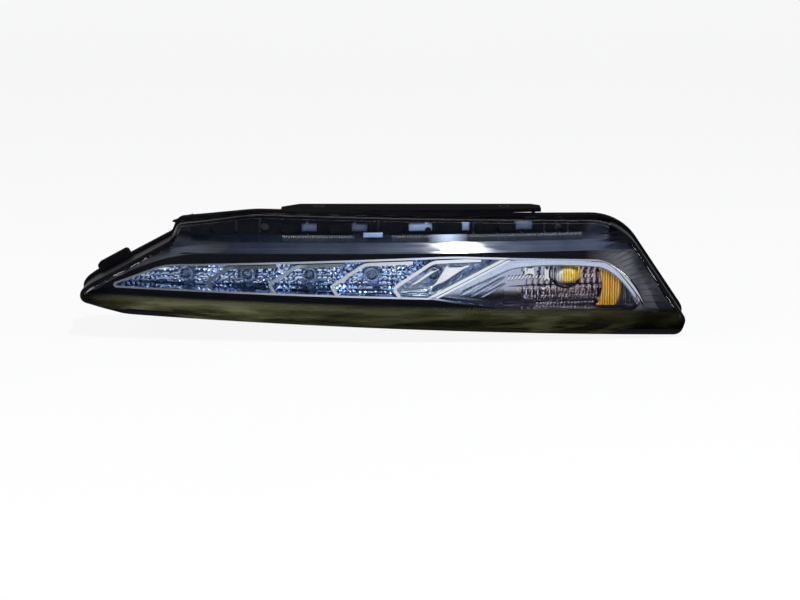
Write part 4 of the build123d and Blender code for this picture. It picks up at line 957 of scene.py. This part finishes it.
def pillows():
    """Small domed facets all over the trough, each a little askew, which break up its reflections."""
    build = bmesh.new()
    profile = []
    for start, end in zip(TROUGH, TROUGH[1:]):
        middle = ((start[0] + end[0]) / 2, (start[1] + end[1]) / 2)
        profile += [(start, middle), (middle, end)]
    for (d1, z1), (d2, z2) in profile:
        x = OPENING_TIP[0]
        while x < DIVIDER[1][0]:
            if in_bays(x + PILLOW_WIDE / 2, (z1 + z2) / 2):
                near, far = x, x + PILLOW_WIDE
                corners = [(near, d2, z2), (far, d2, z2), (far, d1, z1), (near, d1, z1)]
                askew = [(cx, cd - PILLOW_TILT * random.random(), cz) for cx, cd, cz in corners]
                patch(build, askew, PILLOW_HIGH * (0.5 + random.random()))
            x += PILLOW_WIDE
    mesh = piece("bay_pillows", build, "bright_metal").data
    # Pillows in the last bay take the lighter satin copy: painted light
    mesh.materials.append(finishes["bay_satin_painted_light"])
    for face in mesh.polygons:
        if face.center.z / MM < on_line(*LAST_BAY, face.center.x / MM):
            face.material_index = 1


def slants():
    """Bright slanted facets in the last bay, along the divider and the sill."""
    build = bmesh.new()
    for low, high, low_wide, high_wide in SLANTS:
        corners = (
            (low[0], SLANT_DEPTH, low[1]),
            (low[0] + low_wide, SLANT_DEPTH, low[1]),
            (high[0] + high_wide, SLANT_DEPTH, high[1]),
            (high[0], SLANT_DEPTH, high[1]),
        )
        patch(build, corners, SLANT_RISE, SLANT_CUTS, flat=3)
    piece("bay_slants", build, "light_guide")


def bowl_ticks():
    """Rows of short leaning ticks on the ramp and in the indicator bowl, clear of the bulb."""
    build = bmesh.new()
    surface = surface_of(nodes["turn_reflector"])
    for start, end, low, high in TICK_ROWS:
        x = start
        while x < end:
            left, right = x - TICK_WIDE / 2, x + TICK_WIDE / 2
            nearest = (x, min(max(BULB[1], low), high))
            front = foremost(surface, left, right + TICK_LEAN, low, high)
            if front is not None and math.dist(nearest, BULB) > BULB_HOLE + TICK_WIDE / 2:
                corners = ((left, low), (right, low), (right + TICK_LEAN, high), (left + TICK_LEAN, high))
                raised(build, corners, front, TICK_LIFT, TICK_RISE)
            x += TICK_PITCH
    piece("bowl_ticks", build, "light_guide")


def bowl_facets():
    """Plain bright facets among the ticks, which stand twice as high."""
    build = bmesh.new()
    surface = surface_of(nodes["turn_reflector"])
    for left, right, low, high in BOWL_FACETS:
        front = foremost(surface, left, right, low, high)
        corners = ((left, low), (right, low), (right, high), (left, high))
        raised(build, corners, front, 2 * TICK_LIFT, 2 * TICK_RISE)
    piece("bowl_facets", build, "light_guide")


def ramp_ribs():
    """Long smooth ribs on the ramp, side by side along the divider."""
    build = bmesh.new()
    foot, head = Vector(DIVIDER[0]), Vector(DIVIDER[1])
    run = head - foot
    across = Vector((run.y, -run.x)).normalized()
    for off, wide, start, end in RAMP_RIBS:
        rows = []
        for step in range(RAMP_RIB_STEPS + 1):
            t = step / RAMP_RIB_STEPS
            half = wide / 2 * (1 - (2 * t - 1) ** END_POWER)
            row = []
            for side in range(RAMP_RIB_SIDES + 1):
                s = 2 * side / RAMP_RIB_SIDES - 1
                point = foot + run * (start + (end - start) * t) + across * (off + s * half)
                lift = SHEET_LIFT + RAMP_RIB_RISE * (1 - s * s) * half / wide * 2
                row.append(on_ramp(point.x, point.y, lift))
            rows.append(row)
        grid(build, rows)
    piece("ramp_ribs", build, "frame_satin")


def bulb_collar():
    """Bright cone that closes the gap between the bulb and the bowl."""
    build = bmesh.new()
    inner = ring(BULB, BULB_RADIUS, BULB_DEPTH + COLLAR_FALL, COLLAR_SIDES)
    grid(build, [inner, ring(BULB, BULB_HOLE, BULB_DEPTH, COLLAR_SIDES)])
    piece("bulb_collar", build, "collar_film")


def bay_frame():
    """Satin frame along the divider, over the top and down the outer end of the indicator bay."""
    build = bmesh.new()
    rows = []
    for outer_run, inner_run in zip(FRAME_OUTER, FRAME_INNER):
        for step in range(FRAME_STEPS + 1):
            t = step / FRAME_STEPS
            outer, inner = pulled(outer_run, t), pulled(inner_run, t)
            row = []
            for share, depth in FRAME_SECTION:
                point = inner + (outer - inner) * share
                row.append(place(point.x, depth, point.y))
            rows.append(row)
    grid(build, rows)
    bmesh.ops.remove_doubles(build, verts=build.verts, dist=MERGE)
    piece("bay_frame", build, "frame_satin")


def ledge_flutes():
    """Strips of fine half-round flutes that curve up from the front of the ledge."""
    build = bmesh.new()
    for start, end in FLUTE_STRIPS:
        count = round((end - start) / FLUTE_PITCH)
        rows = []
        for depth, z in FLUTE_SECTION:
            row = []
            for step in range(count * FLUTE_STEPS + 1):
                rise = FLUTE_HIGH * abs(math.sin(math.pi * step / FLUTE_STEPS))
                x = start + step * FLUTE_PITCH / FLUTE_STEPS
                row.append(place(x, depth - rise / 2, z + rise / 2))
            rows.append(row)
        grid(build, rows)
    piece("ledge_flutes", build, "ledge_painted_highlight")


def ledge_tab():
    """Slightly domed silver tab that stands on the ledge."""
    build = bmesh.new()
    left, right, low, high, depth = TAB
    back = depth + TAB_LEAN
    corners = ((left, depth, low), (right, depth, low), (right, back, high), (left, back, high))
    patch(build, corners, TAB_RISE, PLATE_CUTS, flat=3)
    piece("ledge_tab", build, "silver_and_painted_light")


def window_stud():
    """Dark round-headed stud before a window with painted light."""
    build = bmesh.new()
    rows = [ring(STUD, STUD_RADIUS, PLATE_DEPTH, STUD_SIDES)]
    for step in range(STUD_RINGS + 1):
        lift = math.pi / 2 * step / STUD_RINGS
        depth = STUD_DEPTH - STUD_RADIUS * math.sin(lift)
        rows.append(ring(STUD, STUD_RADIUS * math.cos(lift), depth, STUD_SIDES))
    grid(build, rows)
    bmesh.ops.remove_doubles(build, verts=build.verts, dist=MERGE)
    piece("window_stud", build, "lens_border")


def window_plates(name, finish, painted_light):
    """Slightly domed plates for one set of windows of the ribbed wall: the set with painted light, else the
    set with painted shade.
    """
    build = bmesh.new()
    for x, wide in WINDOWS:
        if (x in PAINTED_LIGHT_WINDOWS) != painted_light:
            continue
        left, right = x - wide / 2 + PLATE_GAP, x + wide / 2 - PLATE_GAP
        corners = (
            (left, PLATE_DEPTH, WINDOW_LOW),
            (right, PLATE_DEPTH, WINDOW_LOW),
            (right, PLATE_DEPTH, WINDOW_HIGH),
            (left, PLATE_DEPTH, WINDOW_HIGH),
        )
        patch(build, corners, PLATE_RISE, PLATE_CUTS, flat=2)
    piece(name, build, finish)


def left_band():
    """Smooth raised band that carries the bezel's sloping band on to the tip."""
    build = bmesh.new()
    rows = []
    for step in range(LEFT_STEPS + 1):
        t = step / LEFT_STEPS
        outer, inner = pulled(LEFT_OUTER, t), pulled(LEFT_INNER, t)
        crest = inner + (outer - inner) * LEFT_CREST
        rise = LEFT_RISE * math.sin(math.pi / 2 * min(1.0, t / LEFT_RISEN)) * (1 - t ** END_POWER)
        rows.append([
            place(point.x, face_depth(point.y) - TRIM_LIFT - lift, point.y)
            for point, lift in ((inner, 0), (crest, rise), (outer, 0))
        ])
    grid(build, rows)
    piece("left_band", build, "band_grey")


def bright_arc():
    """Half-round crescent beside the outer end of the indicator bay."""
    build = bmesh.new()
    rows = []
    for step in range(ARC_STEPS + 1):
        t = step / ARC_STEPS
        centre = pulled(ARC, t)
        run = pulled(ARC, min(1.0, t + ARC_NEAR)) - pulled(ARC, max(0.0, t - ARC_NEAR))
        across = Vector((-run.y, run.x)).normalized()
        swell = math.sin(math.pi * t ** ARC_WIDEST_LATE)
        half = ARC_WIDE / 2 * (ARC_NARROW + (1 - ARC_NARROW) * swell)
        row = []
        for side in range(ARC_SIDES + 1):
            angle = math.pi * side / ARC_SIDES
            point = centre + across * half * math.cos(angle)
            depth = face_depth(point.y) - TRIM_LIFT - ARC_RISE * math.sin(angle)
            row.append(place(point.x, depth, point.y))
        rows.append(row)
    grid(build, rows)
    piece("bright_arc", build, "light_guide")


pillows()
slants()
bowl_ticks()
bowl_facets()
ramp_ribs()
bulb_collar()
bay_frame()
ledge_flutes()
ledge_tab()
window_stud()
window_plates("painted_light_plates", "silver_and_painted_light", painted_light=True)
window_plates("painted_shade_plates", "plate_painted_shade", painted_light=False)
left_band()
bright_arc()


# Camera, floor, room and lamps

def turned_to(obj, direction):
    """Turn a camera or a lamp so that it looks along a direction."""
    obj.rotation_mode = "QUATERNION"
    obj.rotation_quaternion = direction.to_track_quat("-Z", "Y")


def add_camera():
    """Camera at the photograph's angle."""
    rise = math.radians(CAMERA_RISE)
    forward = Vector((0, math.cos(rise), -math.sin(rise)))
    data = bpy.data.cameras.new("camera")
    data.lens = SENSOR_WIDTH * (CAMERA_DISTANCE / PIXEL) / PICTURE_WIDTH
    data.clip_end = CAMERA_REACH
    camera = bpy.data.objects.new("camera", data)
    camera.location = AIM - forward * CAMERA_DISTANCE
    turned_to(camera, forward)
    scene.collection.objects.link(camera)
    scene.camera = camera


def floor_white():
    """Matt white that takes the object's shadow, and looks white to the camera and in gloss and glass."""
    mat, tree, out = new_material("floor_white")
    matte = tree.nodes.new("ShaderNodeBsdfDiffuse")
    tree.links.new(ramp(tree, noise(tree, scale=3.0), *FLOOR_COLOURS, NOISE_RAMP), matte.inputs[0])
    glow = tree.nodes.new("ShaderNodeEmission")
    glow.inputs["Strength"].default_value = 1.0
    path = tree.nodes.new("ShaderNodeLightPath")
    seen = arithmetic(tree, "MAXIMUM", path.outputs["Is Camera Ray"], path.outputs["Is Glossy Ray"])
    shown = arithmetic(tree, "MAXIMUM", seen, path.outputs["Is Transmission Ray"])
    share = spread(tree, shown, 0.0, FLOOR_GLOW)
    tree.links.new(mixed_shader(tree, share, matte.outputs[0], glow.outputs[0]), out.inputs[0])
    return mat


def add_floor():
    """Floor and backdrop, one swept sheet."""
    profile = [(FLOOR_FRONT, 0.0), (SWEEP_START, 0.0)]
    for step in range(1, SWEEP_STEPS + 1):
        turn = math.pi / 2 * step / SWEEP_STEPS
        profile.append((SWEEP_START + SWEEP_RADIUS * math.sin(turn), SWEEP_RADIUS * (1 - math.cos(turn))))
    profile.append((SWEEP_START + SWEEP_RADIUS, BACKDROP_TOP))
    build = bmesh.new()
    grid(build, [[(x, y, cad_low.z + z) for x in (-FLOOR_HALF, FLOOR_HALF)] for y, z in profile])
    mesh = bpy.data.meshes.new("floor")
    build.to_mesh(mesh)
    build.free()
    mesh.shade_smooth()
    mesh.materials.append(floor_white())
    floor = bpy.data.objects.new("floor", mesh)
    scene.collection.objects.link(floor)


def add_room():
    """Slightly blue room with light and dark patches for bright parts to mirror; white to the camera."""
    world = bpy.data.worlds.new("world")
    scene.world = world
    world.use_nodes = True
    tree = world.node_tree
    tree.nodes.clear()
    out = tree.nodes.new("ShaderNodeOutputWorld")
    direction = tree.nodes.new("ShaderNodeTexCoord").outputs["Generated"]
    patches = noise(tree, scale=3.5, detail=2.0, vector=direction)
    height = coordinate(tree, "Z", vector=direction)
    overhead = spread(tree, height, 0.0, ROOM_DARKER, *ROOM_OVERHEAD)
    low_down = spread(tree, height, ROOM_DARKER, 0.0, *ROOM_LOW)
    level = arithmetic(tree, "SUBTRACT", arithmetic(tree, "SUBTRACT", patches, overhead), low_down)
    room = tree.nodes.new("ShaderNodeBackground")
    tree.links.new(ramp(tree, level, *ROOM_COLOURS, ROOM_EDGES), room.inputs[0])
    white = tree.nodes.new("ShaderNodeBackground")
    white.inputs["Color"].default_value = (*ROOM_WHITE, 1)
    path = tree.nodes.new("ShaderNodeLightPath")
    shown = mixed_shader(tree, path.outputs["Is Camera Ray"], room.outputs[0], white.outputs[0])
    tree.links.new(shown, out.inputs[0])


def add_lamp(name, spot, target, width, height, power):
    """Soft lamp that looks at a target."""
    data = bpy.data.lights.new(name, "AREA")
    data.shape = "RECTANGLE"
    data.size = width
    data.size_y = height
    data.energy = power
    lamp = bpy.data.objects.new(name, data)
    lamp.location = spot
    turned_to(lamp, Vector(target) - Vector(spot))
    scene.collection.objects.link(lamp)


add_camera()
add_floor()
add_room()
for lamp_row in LAMPS:
    add_lamp(*lamp_row)

scene.view_settings.view_transform = "Standard"
